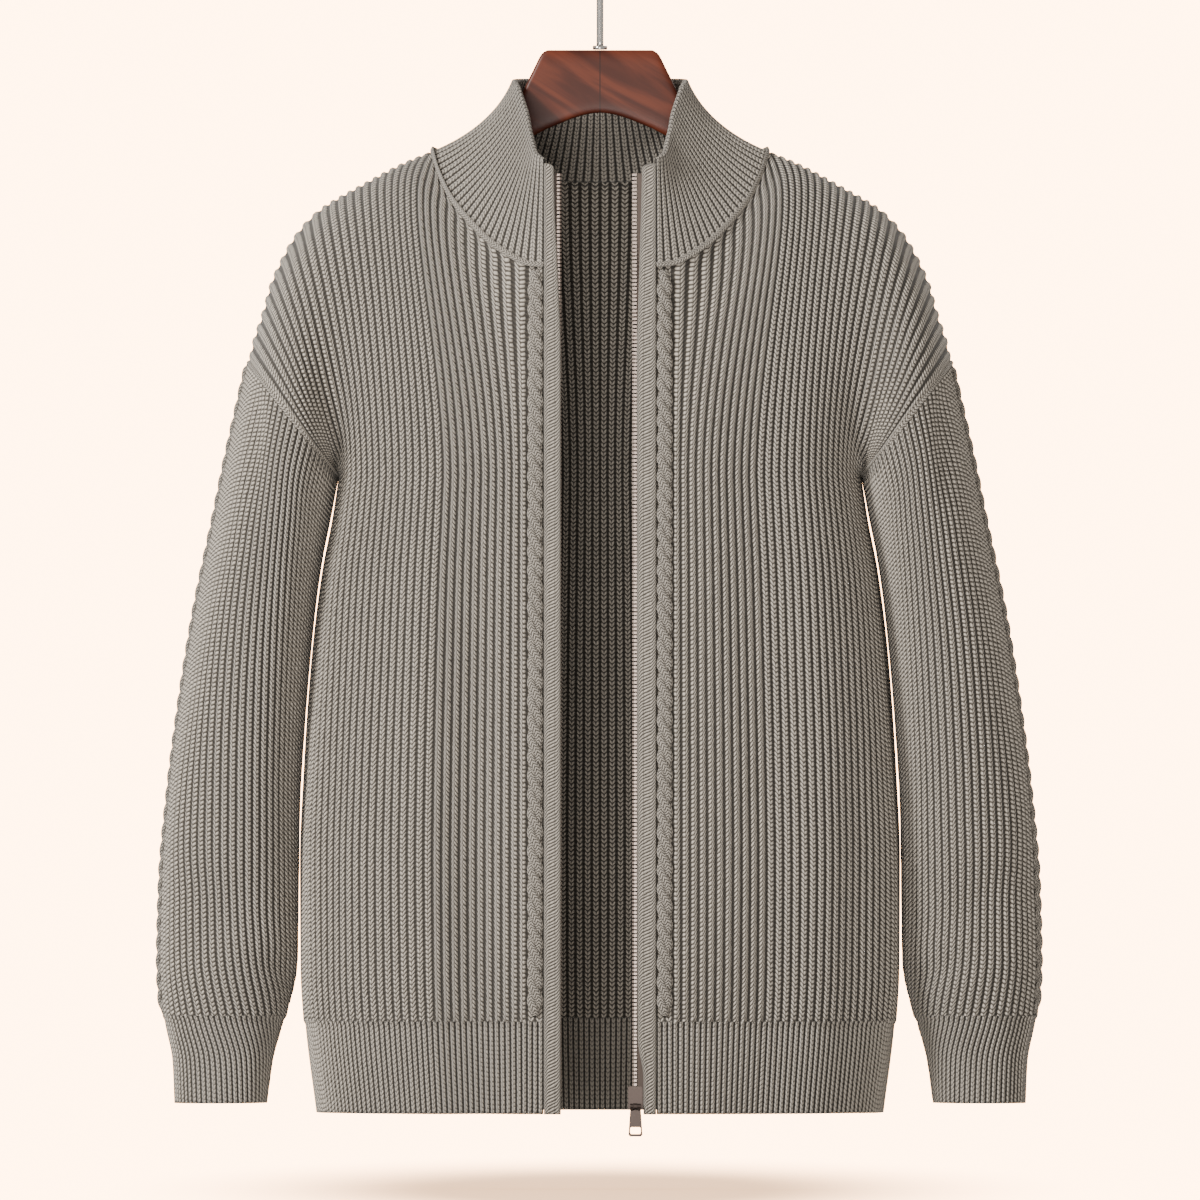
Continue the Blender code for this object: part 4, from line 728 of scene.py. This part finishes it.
def tube(line, widths, across, count):
    """Rings of an oval tube along a line: its half-width and half-height, and the way that its width lies."""
    way = unit(np.gradient(line, axis=0))
    across = unit(across - way * (across * way).sum(-1, keepdims=True))
    out = np.cross(way, across)
    turns = np.linspace(0, 2 * math.pi, count, endpoint=False)
    return (line[:, None] + across[:, None] * (np.cos(turns)[None, :, None] * widths[0])
            + out[:, None] * (np.sin(turns)[None, :, None] * widths[1]))


def tube_piece(name, rings, uv_size, material):
    """A tube with capped ends. uv_size is the count of ribs round it and the length of a stitch along it."""
    rows, count = rings.shape[:2]
    closed = np.concatenate((rings, rings[:, :1]), axis=1)
    index = np.arange(rows * (count + 1)).reshape(rows, count + 1)
    faces = quads(index) + [index[0, :-1].tolist(), index[-1, :-1][::-1].tolist()]
    down = lengths(rings.mean(axis=1))[:, None] * np.ones((1, count + 1)) / uv_size[1]
    round_ = np.linspace(0, uv_size[0], count + 1)[None, :] * np.ones((rows, 1))
    uvs = np.stack((round_, down), -1).reshape(-1, 2)
    return mesh_piece(name, closed.reshape(-1, 3), faces, uvs, (material,))


def resampled(line, step):
    """The same line in even steps."""
    length = lengths(line)
    return at(line, length, np.linspace(0, length[-1], max(2, int(length[-1] / step))))


def level_out(points):
    """The way that points round the neck face, a little upwards."""
    return unit(np.column_stack((points[:, 0], points[:, 1], np.full(len(points), 0.05))))


seam = neck_seam()
line = seam - level_out(seam) * 0.0001 + np.array((0, 0, 0.0014))
line = resampled(np.vstack((line[:0:-1] * (-1, 1, 1), line)), 0.0015)
rings = tube(line, COLLAR_CHAIN, np.cross(level_out(line), unit(np.gradient(line, axis=0))), 12)
link = tube_piece("collar_link", rings, (4.0, FINE_STITCH), plain_knit)
dress(link, None)

for side, sign in SIDES.items():
    turn = np.linspace(-math.pi, math.pi, 240)
    middle, half_line = (ARMHOLE_TOP + UNDERARM) / 2, (ARMHOLE_TOP - UNDERARM) / 2
    ring = middle + np.outer(np.cos(turn), half_line) - np.outer(armhole_depths(turn), (0, ARMHOLE_DEPTH, 0))
    ring = resampled(ring, 0.002)[:-1]
    ring = np.vstack((ring, ring[:1]))
    out = armhole_out(ring)
    line = (ring - out * 0.0006) * (sign, 1, 1)
    across = np.cross(out * (sign, 1, 1), unit(np.gradient(line, axis=0)))
    rings = tube(line, ARMHOLE_CHAIN, across, 8)
    piece = tube_piece("armhole_seam_" + side, rings, (2.0, CHAIN_STITCH), plain_knit)
    dress(piece, None)

# ---- Cables ----
# Two-strand cables, knitted into the fronts beside the opening and down the outer fold of each sleeve.
# The strands twist over each other: each is a flattened tube of plain knitting.
CABLE_PITCH = 0.0132
CABLE_INSET = 0.003  # from a front cable's ends to the neckline and the hem rib
STRAND = (0.0031, 0.0020)  # half its width and half its height
STRAND_SWING, STRAND_RISE = 0.0028, 0.0013
# How deep the strands lie, how much deeper at their ends, and how long those ends are.
STRAND_SUNK, STRAND_END_SUNK, STRAND_END = 0.0007, 0.0012, 0.006
cable_knit = knit("cable_knit", slope=1.0, chain=(0.85, 1.2), ditch=2.5, tint=0.84, groove=0.10)


def cable_strands(name, line, across, facing):
    """Two strands round a line. across is the way to the viewer's right."""
    distance = lengths(line)
    ends = ease(distance / STRAND_END) * ease((distance[-1] - distance) / STRAND_END)
    parts = []
    for k in (0, 1):
        phase = math.pi * (distance / CABLE_PITCH + k)
        swing = -STRAND_SWING * np.cos(phase) * ends
        rise = STRAND_RISE * np.sin(phase) * ends - STRAND_SUNK - STRAND_END_SUNK * (1 - ends)
        path = line + across * swing[:, None] + facing * rise[:, None]
        rings = tube(path, STRAND, across, 12)
        parts.append(tube_piece("%s_strand_%d" % (name, k + 1), rings, (4.0, FINE_STITCH), cable_knit))
    return parts


front_vs = np.concatenate((np.linspace(0, 1, 300)[:-1], np.linspace(1, 2, 300)))
strip_line = panel(np.array([-CABLE_WIDTH / 2]), front_vs, "front")[:, 0]
strip_side = panel(np.array([-CABLE_WIDTH * 0.25]), front_vs, "front")[:, 0]
inside_strip = (strip_line[:, 2] > HEM_RIB_Z + CABLE_INSET) & (lengths(strip_line) > CABLE_INSET)
strip_across = unit(strip_side - strip_line)[inside_strip]
length = lengths(strip_line[inside_strip])
want = np.arange(0, length[-1], CABLE_PITCH / 10)
cable_line = at(strip_line[inside_strip], length, want)
cable_across = unit(at(strip_across, length, want))
cable_out = unit(np.cross(cable_across, np.gradient(cable_line, axis=0)))
cable_out = cable_out * np.where(cable_out[:, 1:2] > 0, -1, 1)
for side, sign in SIDES.items():
    for part in cable_strands("front_cable_" + side, cable_line * (sign, 1, 1),
                              cable_across * (1, sign, sign), cable_out * (sign, 1, 1)):
        dress(part, None)
    turn = CABLE_TURN[side]
    vs = np.linspace(0.003, CUFF_V - 0.004, 420)
    grid, normal, _ = sleeve_grid(vs, turn, np.array([-0.001, 0.0, 0.001]))
    length = lengths(grid[:, 1])
    want = np.arange(0, length[-1], CABLE_PITCH / 10)
    line, out = at(grid[:, 1], length, want), unit(at(normal[:, 1], length, want))
    across = unit(at(grid[:, 0] - grid[:, 2], length, want))
    for part in cable_strands("sleeve_cable_" + side, line * (sign, 1, 1), across * (sign, 1, 1) * -sign,
                              out * (sign, 1, 1)):
        dress(part, None)

# ---- Bands along the opening ----
# Rolled knitted bands, from the hem to the collar's top, that cover the zip's tapes.
# Each is a flat tube of fine plain knitting, closed at both ends. It narrows at the collar's top.
BAND = {
    "z": (-0.8395, -0.8150, -0.7850, -0.3000, -0.2600, -0.2000, -0.1690),
    "right": (0.0276, 0.0276, 0.0276, 0.0276, 0.0290, 0.0318, 0.0325),
    "left": (0.0306, 0.0306, 0.0266, 0.0262, 0.0272, 0.0290, 0.0297),
}
BAND_PROUD, BAND_THICK, BAND_TOP_Z, BAND_MIDDLE_Z = 0.0012, 0.0042, -0.1690, -0.5000
BAND_FOOT_ROUND, BAND_TOP_ROUND = 0.0014, 0.0034  # over how much of its length an end is rounded
BAND_POINTS, BAND_SQUARE = 24, 0.55
band_knit = knit("band_knit", slope=0.0, chain=(0.85, 1.3), ditch=4.0, lean=1.5, tint=0.86, groove=0.10)


def opening_line():
    """The front's surface beside the opening: heights and depths from the hem to the collar's top."""
    rows = panel(np.array([-CABLE_WIDTH + 1e-6]), np.linspace(0, 2, 41), "front")[::-1, 0]
    line = np.vstack((rows, collar_grid(np.array([1.0]), np.array((0.25, 0.5, 0.75, 1.0)))[:, 0]))
    depth = line[:, 1] + hem_step((line[:, 2] - CHEST_Z) / (HEM_Z - CHEST_Z) + 1.0) * 0.5
    return line[:, 2], depth


opening_z, opening_y = opening_line()


def opening_depth(z):
    return np.interp(z, opening_z, opening_y)


for side, sign in SIDES.items():
    z = np.concatenate((HEM_Z + np.array((0.0, 0.0004, 0.0012)),
                        np.arange(HEM_Z + 0.003, BAND_TOP_Z - 0.003, 0.0025),
                        BAND_TOP_Z - np.array((0.0026, 0.0019, 0.0013, 0.0008, 0.0004, 0.0001, 0.0))))
    inner = smooth_table(z, BAND["z"], BAND[side])
    plump = [np.sqrt(np.clip(1 - (1 - np.clip(end / turn, 0, 1)) ** 2, 0.10, 1))
             for end, turn in ((z - HEM_Z, BAND_FOOT_ROUND), (BAND_TOP_Z - z, BAND_TOP_ROUND))]
    plump = np.minimum(*plump)
    width = (BAND_OUTER - inner) / 2 * np.where(z < BAND_MIDDLE_Z, 1, 0.25 + 0.75 * plump)
    inner = BAND_OUTER - 2 * width
    cos, sin = squared(np.linspace(0, 2 * math.pi, BAND_POINTS, endpoint=False), BAND_SQUARE)
    rings = np.stack((
        sign * ((inner + width)[:, None] + width[:, None] * cos),
        (opening_depth(z) - BAND_PROUD + BAND_THICK / 2)[:, None] + (BAND_THICK / 2 * plump)[:, None] * sin,
        z[:, None] * np.ones((1, BAND_POINTS))), -1)
    piece = tube_piece("placket_%s_knit" % side, rings, (-9.0 * sign, FINE_STITCH), band_knit)
    dress(piece, "placket_" + side)

# ---- Zip tapes and teeth ----
# Woven tapes are sewn behind the bands, and metal teeth are clamped on their edges.
# The tapes keep their own solids. The teeth are a row of small blocks along each edge.
TEETH_EDGE = {"right": 0.0272, "left": 0.0227}
TEETH_WIDTH, TEETH_THICK, TOOTH_PITCH = 0.0032, 0.0024, 0.0027
ZIP_TOP_Z, TEETH_INSET = -0.1760, 0.001
SLIDER_Z, SLIDER_TALL = -0.8277, 0.0160
TEETH_FOOT = {"right": HEM_Z + 0.0160, "left": SLIDER_Z + SLIDER_TALL / 2 + GAP}
WEAVE_PITCH, WEAVE_DEPTH = 0.0011, 0.0002


def woven(name, colour):
    """Tape cloth whose fine threads cross."""
    tree = Tree(name)
    place = tree.node("ShaderNodeTexCoord").outputs["Object"]
    apart = tree.node("ShaderNodeSeparateXYZ", {0: place})
    waves = [tree.math("SINE", tree.math("MULTIPLY", apart.outputs[k], 2 * math.pi / WEAVE_PITCH))
             for k in (0, 2)]
    weave = tree.math("MULTIPLY", *waves)
    tree.bump(weave, WEAVE_DEPTH, 0.6)
    # The tape is darker where its weave lies low: painted shade in the hollows of the weave.
    return tree.finish(tree.mix(tree.ramp(weave, -1, 1), tuple(c * 0.75 for c in colour), colour), 0.85)


def metal(name, colour, roughness, scratch=0.08):
    """Bare metal that fine scratches make rougher in places."""
    tree = Tree(name)
    place = tree.node("ShaderNodeTexCoord").outputs["Object"]
    wear = tree.node("ShaderNodeTexNoise", {"Vector": place, "Scale": 900.0, "Detail": 3.0}).outputs[0]
    return tree.finish(colour, tree.math("MULTIPLY_ADD", wear, scratch, roughness), 1.0)


def coat(node, material):
    """A solid that shows directly, in a finish of its own."""
    solid = frame["nodes"][node]
    solid.data.materials.clear()
    solid.data.materials.append(material)


tape_cloth = woven("zip_tape", (0.115, 0.088, 0.074))
tooth_metal = metal("tooth_metal", (0.30, 0.24, 0.21), 0.30)
for side in SIDES:
    coat("zip_tape_" + side, tape_cloth)


def tooth_mesh():
    """One tooth: a block with a narrower nose that reaches out from the tape."""
    x, y, z = TEETH_WIDTH / 2, TEETH_THICK / 2, TOOTH_PITCH * 0.30
    outline = [(-x, -y * 0.55), (-x * 0.2, -y), (x, -y), (x, y), (-x * 0.2, y), (-x, y * 0.55)]
    points = [(a, b, c) for c in (-z, z) for a, b in outline]
    n = len(outline)
    faces = [tuple(range(n))[::-1], tuple(range(n, 2 * n))]
    faces += [(k, (k + 1) % n, (k + 1) % n + n, k + n) for k in range(n)]
    tooth = mesh_piece("one_tooth", points, faces)
    for polygon in tooth.data.polygons:
        polygon.use_smooth = False
    return tooth


def teeth_tree(tooth, material):
    """Geometry Nodes: a tooth at each step along the input's line."""
    tree = bpy.data.node_groups.new("zip_teeth", "GeometryNodeTree")
    tree.interface.new_socket("Geometry", in_out="INPUT", socket_type="NodeSocketGeometry")
    pitch = tree.interface.new_socket("Pitch", in_out="INPUT", socket_type="NodeSocketFloat")
    tree.interface.new_socket("Geometry", in_out="OUTPUT", socket_type="NodeSocketGeometry")
    enter, leave = tree.nodes.new("NodeGroupInput"), tree.nodes.new("NodeGroupOutput")
    curve = tree.nodes.new("GeometryNodeMeshToCurve")
    spaced = tree.nodes.new("GeometryNodeResampleCurve")
    if hasattr(spaced, "mode"):
        spaced.mode = "LENGTH"
    info = tree.nodes.new("GeometryNodeObjectInfo")
    info.inputs["Object"].default_value = tooth
    place = tree.nodes.new("GeometryNodeInstanceOnPoints")
    real = tree.nodes.new("GeometryNodeRealizeInstances")
    paint = tree.nodes.new("GeometryNodeSetMaterial")
    paint.inputs["Material"].default_value = material
    link = tree.links.new
    link(enter.outputs[0], curve.inputs["Mesh"])
    link(curve.outputs[0], spaced.inputs["Curve"])
    link(enter.outputs[1], spaced.inputs["Length"])
    link(spaced.outputs[0], place.inputs["Points"])
    link(info.outputs["Geometry"], place.inputs["Instance"])
    link(place.outputs[0], real.inputs[0])
    link(real.outputs[0], paint.inputs["Geometry"])
    link(paint.outputs[0], leave.inputs[0])
    return tree, pitch.identifier


def line_object(name, points):
    """A row of points joined by edges, for a Geometry Nodes tree to follow."""
    mesh = bpy.data.meshes.new(name)
    mesh.from_pydata(np.asarray(points).tolist(), [(k, k + 1) for k in range(len(points) - 1)], [])
    made = bpy.data.objects.new(name, mesh)
    bpy.context.scene.collection.objects.link(made)
    return made


def grown(line, tree, values):
    """The plain mesh that a Geometry Nodes tree makes of a line."""
    modifier = line.modifiers.new("grow", "NODES")
    modifier.node_group = tree
    for key, value in values.items():
        modifier[key] = value
    graph = bpy.context.evaluated_depsgraph_get()
    mesh = bpy.data.meshes.new_from_object(line.evaluated_get(graph))
    line.modifiers.remove(modifier)
    line.data = mesh
    return line


for side, sign in SIDES.items():
    tooth = tooth_mesh()
    tooth.data.transform(Matrix.Diagonal((sign, 1, 1, 1)))
    if sign < 0:
        tooth.data.flip_normals()
    tree, pitch_input = teeth_tree(tooth, tooth_metal)
    z = np.linspace(TEETH_FOOT[side] + TEETH_INSET, ZIP_TOP_Z - TEETH_INSET, 120)
    y = opening_depth(z) + BAND_THICK - BAND_PROUD + GAP + TEETH_THICK / 2
    x = np.full(len(z), sign * (TEETH_EDGE[side] + TEETH_WIDTH / 2))
    teeth = grown(line_object("zip_teeth_%s_metal" % side, np.column_stack((x, y, z))), tree,
                  {pitch_input: TOOTH_PITCH})
    bpy.data.objects.remove(tooth, do_unlink=True)
    dress(teeth, "zip_teeth_" + side)

# ---- Slider, pull tab, pin and box ----
# Die-cast metal in a warm grey. The slider rests on the box at the foot of the wearer's left tape,
# and the pull tab hangs from its lug.
slider_metal = metal("slider_metal", (0.085, 0.067, 0.060), 0.40)
for name in ("zip_slider", "zip_pull", "zip_pin", "zip_box"):
    coat(name, slider_metal)

# ---- Wooden hanger ----
# Two carved halves of varnished red-brown wood, glued at the middle, with a flat head and rounded arms.
# Its sections follow the board's outline, square at the head and round along the arms.
WOOD = {
    "x": (0.0, 0.0365, 0.0400, 0.0480, 0.0560, 0.0700, 0.0900, 0.1070, 0.1200, 0.1450, 0.1700, 0.1900,
          0.2000, 0.2060),
    "top": (-0.0875, -0.0875, -0.0890, -0.1030, -0.1190, -0.1390, -0.1550, -0.1638, -0.1672, -0.1756, -0.1888,
            -0.2008, -0.2084, -0.2170),
    "foot": (-0.1321, -0.1430, -0.1448, -0.1491, -0.1545, -0.1640, -0.1770, -0.1870, -0.1930, -0.2030,
             -0.2110, -0.2190, -0.2225, -0.2240),
    "half_thick": (0.0070, 0.0070, 0.0070, 0.0070, 0.0072, 0.0078, 0.0086, 0.0094, 0.0100, 0.0105, 0.0105,
                   0.0100, 0.0085, 0.0045),
}
WOOD_POINTS = 40


def varnished_wood():
    """Slanting grain, fine pores, and the dark line of the glued joint at the middle."""
    tree = Tree("varnished_wood")
    place = tree.node("ShaderNodeTexCoord").outputs["Object"]
    lean = tree.node("ShaderNodeMapping", {"Vector": place, "Rotation": (0.0, -0.55, 0.0)})
    lean = tree.node("ShaderNodeMapping", {"Vector": lean.outputs[0], "Scale": (9.0, 60.0, 75.0)})
    grain = tree.node("ShaderNodeTexNoise", {"Vector": lean.outputs[0], "Scale": 1.0, "Detail": 5.0,
                                             "Distortion": 0.8}).outputs[0]
    fine = tree.node("ShaderNodeTexNoise", {"Vector": lean.outputs[0], "Scale": 9.0,
                                            "Detail": 3.0}).outputs[0]
    colour = tree.mix(tree.ramp(grain, 0.35, 0.65), (0.046, 0.009, 0.004), (0.128, 0.027, 0.011))
    colour = tree.mix(tree.math("MULTIPLY", fine, 0.35), colour, (0.050, 0.010, 0.006))
    x = tree.math("ABSOLUTE", tree.node("ShaderNodeSeparateXYZ", {0: place}).outputs[0])
    colour = tree.mix(tree.math("SUBTRACT", 1.0, tree.ramp(x, 0.0001, 0.0006)), colour, (0.02, 0.005, 0.003))
    tree.put(tree.shader.inputs["Specular IOR Level"], 0.25)
    tree.put(tree.shader.inputs["Coat Weight"], 0.05)
    tree.put(tree.shader.inputs["Coat Roughness"], 0.22)
    return tree.finish(colour, 0.45)


half_x = np.concatenate((np.linspace(0, 0.0365, 12)[:-1], np.linspace(0.0365, 0.0600, 24)[:-1],
                         np.linspace(0.0600, 0.2000, 40)[:-1], np.linspace(0.2000, 0.2060, 8)))
stations = np.concatenate((-half_x[:0:-1], half_x))
both_x = np.concatenate((-np.array(WOOD["x"])[:0:-1], WOOD["x"]))
top, foot, thick = (smooth_table(stations, both_x, WOOD[k][:0:-1] + WOOD[k])[:, None]
                    for k in ("top", "foot", "half_thick"))
power = 2.0 / np.interp(np.abs(stations), (0.040, 0.075), (7.0, 2.0))[:, None]
cos, sin = squared(np.linspace(0, 2 * math.pi, WOOD_POINTS, endpoint=False), power)
rings = np.stack((stations[:, None] * np.ones((1, WOOD_POINTS)), thick * cos,
                  (top + foot) / 2 + (top - foot) / 2 * sin), -1)
wood = tube_piece("hanger_wood_varnished", rings, (1.0, 1.0), varnished_wood())
dress(wood, "hanger_wood")

# ---- Steel hook ----
# A polished steel rod, bent into an open hook whose inside top is the origin.
# It is screwed into the hanger's head through a small turned ferrule.
HOOK_WIRE, HOOK_ARC, HOOK_FILLET, HOOK_END_ANGLE = 0.0025, 0.0220, 0.0120, 200.0
WOOD_TOP_Z, FERRULE_RADIUS, FERRULE_HEIGHT = -0.0875, 0.0052, 0.0030
centre_z, reach = -(HOOK_ARC - HOOK_WIRE), HOOK_ARC + HOOK_FILLET
lean = math.acos(HOOK_FILLET / reach)
fillet_z = centre_z - reach * math.sin(lean)
rod = [(0.0, z) for z in np.linspace(WOOD_TOP_Z + GAP, fillet_z, 8)]
rod += [(HOOK_FILLET - HOOK_FILLET * math.cos(a), fillet_z + HOOK_FILLET * math.sin(a))
        for a in np.linspace(0, lean, 16)[1:]]
rod += [(HOOK_ARC * math.cos(a), centre_z + HOOK_ARC * math.sin(a))
        for a in np.linspace(-lean, math.radians(HOOK_END_ANGLE), 90)[1:]]
rod = np.array([(x, 0.0, z) for x, z in rod])
steel = metal("polished_steel", (0.62, 0.60, 0.58), 0.14, 0.03)
rings = tube(rod, (HOOK_WIRE, HOOK_WIRE), np.tile((0.0, 1.0, 0.0), (len(rod), 1)), 20)
hook = tube_piece("hook_rod", rings, (1.0, 1.0), steel)
dress(hook, "hanger_hook")
z = WOOD_TOP_Z + GAP + np.array((0.0, 0.0004, FERRULE_HEIGHT - 0.0006, FERRULE_HEIGHT - 0.0002))[:, None]
radius = FERRULE_RADIUS * np.array((0.94, 1.0, 1.0, 0.90))[:, None]
turns = np.linspace(0, 2 * math.pi, 28, endpoint=False)
rings = np.stack((radius * np.cos(turns), radius * np.sin(turns), z * np.ones((1, 28))), -1)
ferrule = tube_piece("hook_ferrule", rings, (1.0, 1.0), steel)
dress(ferrule, None)

# ---- Studio ----
# A dark floor sheet just below, a painted soft shadow that fades out in an oval and takes the real shadow
# too, before a backdrop that glows in a warm white.
# A key light from the left, a low fill from the front and a light from behind, with a long lens straight on.
CAMERA_DISTANCE, FRAME_WIDTH, MIDDLE_Z = 20.0, 0.8496, -0.4769
FLOOR_Z, FLOOR_HALF, FLOOR_COVER = -0.894, 1.3, 0.85
FLOOR_FADE = (2.8, 0.80, 0.0)  # how soon it fades across and in depth
scene = bpy.context.scene


def painted_shadow_floor():
    """A dark floor sheet that fades out in an oval round the garment's foot: a painted soft shadow that also
    takes the real one.
    """
    tree = Tree("floor_painted_shadow")
    place = tree.node("ShaderNodeTexCoord").outputs["Object"]
    wide = tree.node("ShaderNodeVectorMath", {0: place, 1: FLOOR_FADE}, operation="MULTIPLY").outputs[0]
    far = tree.node("ShaderNodeVectorMath", {0: wide}, operation="LENGTH").outputs["Value"]
    near = tree.math("SUBTRACT", 1.0, tree.ramp(far, 0.3, 1.0))
    tree.put(tree.shader.inputs["Alpha"], tree.math("MULTIPLY", near, FLOOR_COVER))
    grain = tree.node("ShaderNodeTexNoise", {"Vector": place, "Scale": 60.0}).outputs[0]
    # The sheet's dark beige, faded by its cover, is a painted shadow under the garment.
    return tree.finish(tree.mix(grain, (0.17, 0.145, 0.12), (0.20, 0.17, 0.145)), 0.9)


floor = bpy.data.meshes.new("floor")
corners = [(x * FLOOR_HALF, y * FLOOR_HALF, FLOOR_Z) for x, y in ((-1, -1), (1, -1), (1, 1), (-1, 1))]
floor.from_pydata(corners, [], [(0, 1, 2, 3)])
floor.materials.append(painted_shadow_floor())
floor = bpy.data.objects.new("floor", floor)
scene.collection.objects.link(floor)


def soft_light(name, place, aim, size, power, colour):
    """A round area light that points at its aim."""
    lamp = bpy.data.lights.new(name, "AREA")
    lamp.shape, lamp.size, lamp.energy, lamp.color = "DISK", size, power, colour
    holder = bpy.data.objects.new(name, lamp)
    scene.collection.objects.link(holder)
    holder.location = place
    holder.rotation_euler = (Vector(aim) - Vector(place)).to_track_quat("-Z", "Y").to_euler()


soft_light("key_light", (-2.6, -2.4, 1.1), (0.0, 0.0, -0.45), 1.1, 200.0, (1.0, 0.97, 0.93))
soft_light("fill_light", (-0.4, -4.0, -1.0), (0.0, 0.0, -0.5), 1.6, 85.0, (1.0, 0.96, 0.92))
soft_light("rim_light", (1.0, 2.8, 1.6), (0.0, 0.0, -0.3), 1.5, 60.0, (1.0, 0.97, 0.94))
world = bpy.data.worlds.new("pale_room")
world.use_nodes = True
room = world.node_tree
glow = room.nodes["Background"]
glow.inputs["Color"].default_value = (0.93, 0.87, 0.80, 1.0)
glow.inputs["Strength"].default_value = 0.65
backdrop = room.nodes.new("ShaderNodeBackground")
backdrop.inputs["Color"].default_value = (1.0, 0.58, 0.31, 1.0)
backdrop.inputs["Strength"].default_value = 15.0
seen, either = room.nodes.new("ShaderNodeLightPath"), room.nodes.new("ShaderNodeMixShader")
room.links.new(seen.outputs["Is Camera Ray"], either.inputs[0])
room.links.new(glow.outputs[0], either.inputs[1])
room.links.new(backdrop.outputs[0], either.inputs[2])
room.links.new(either.outputs[0], room.nodes["World Output"].inputs[0])
scene.world = world
lens = bpy.data.cameras.new("camera")
lens.sensor_width = 36.0
lens.lens = 36.0 * CAMERA_DISTANCE / FRAME_WIDTH
lens.clip_end = 50.0
camera = bpy.data.objects.new("camera", lens)
scene.collection.objects.link(camera)
camera.location = (0.0, -CAMERA_DISTANCE, MIDDLE_Z)
camera.rotation_euler = (math.pi / 2, 0.0, 0.0)
scene.camera = camera
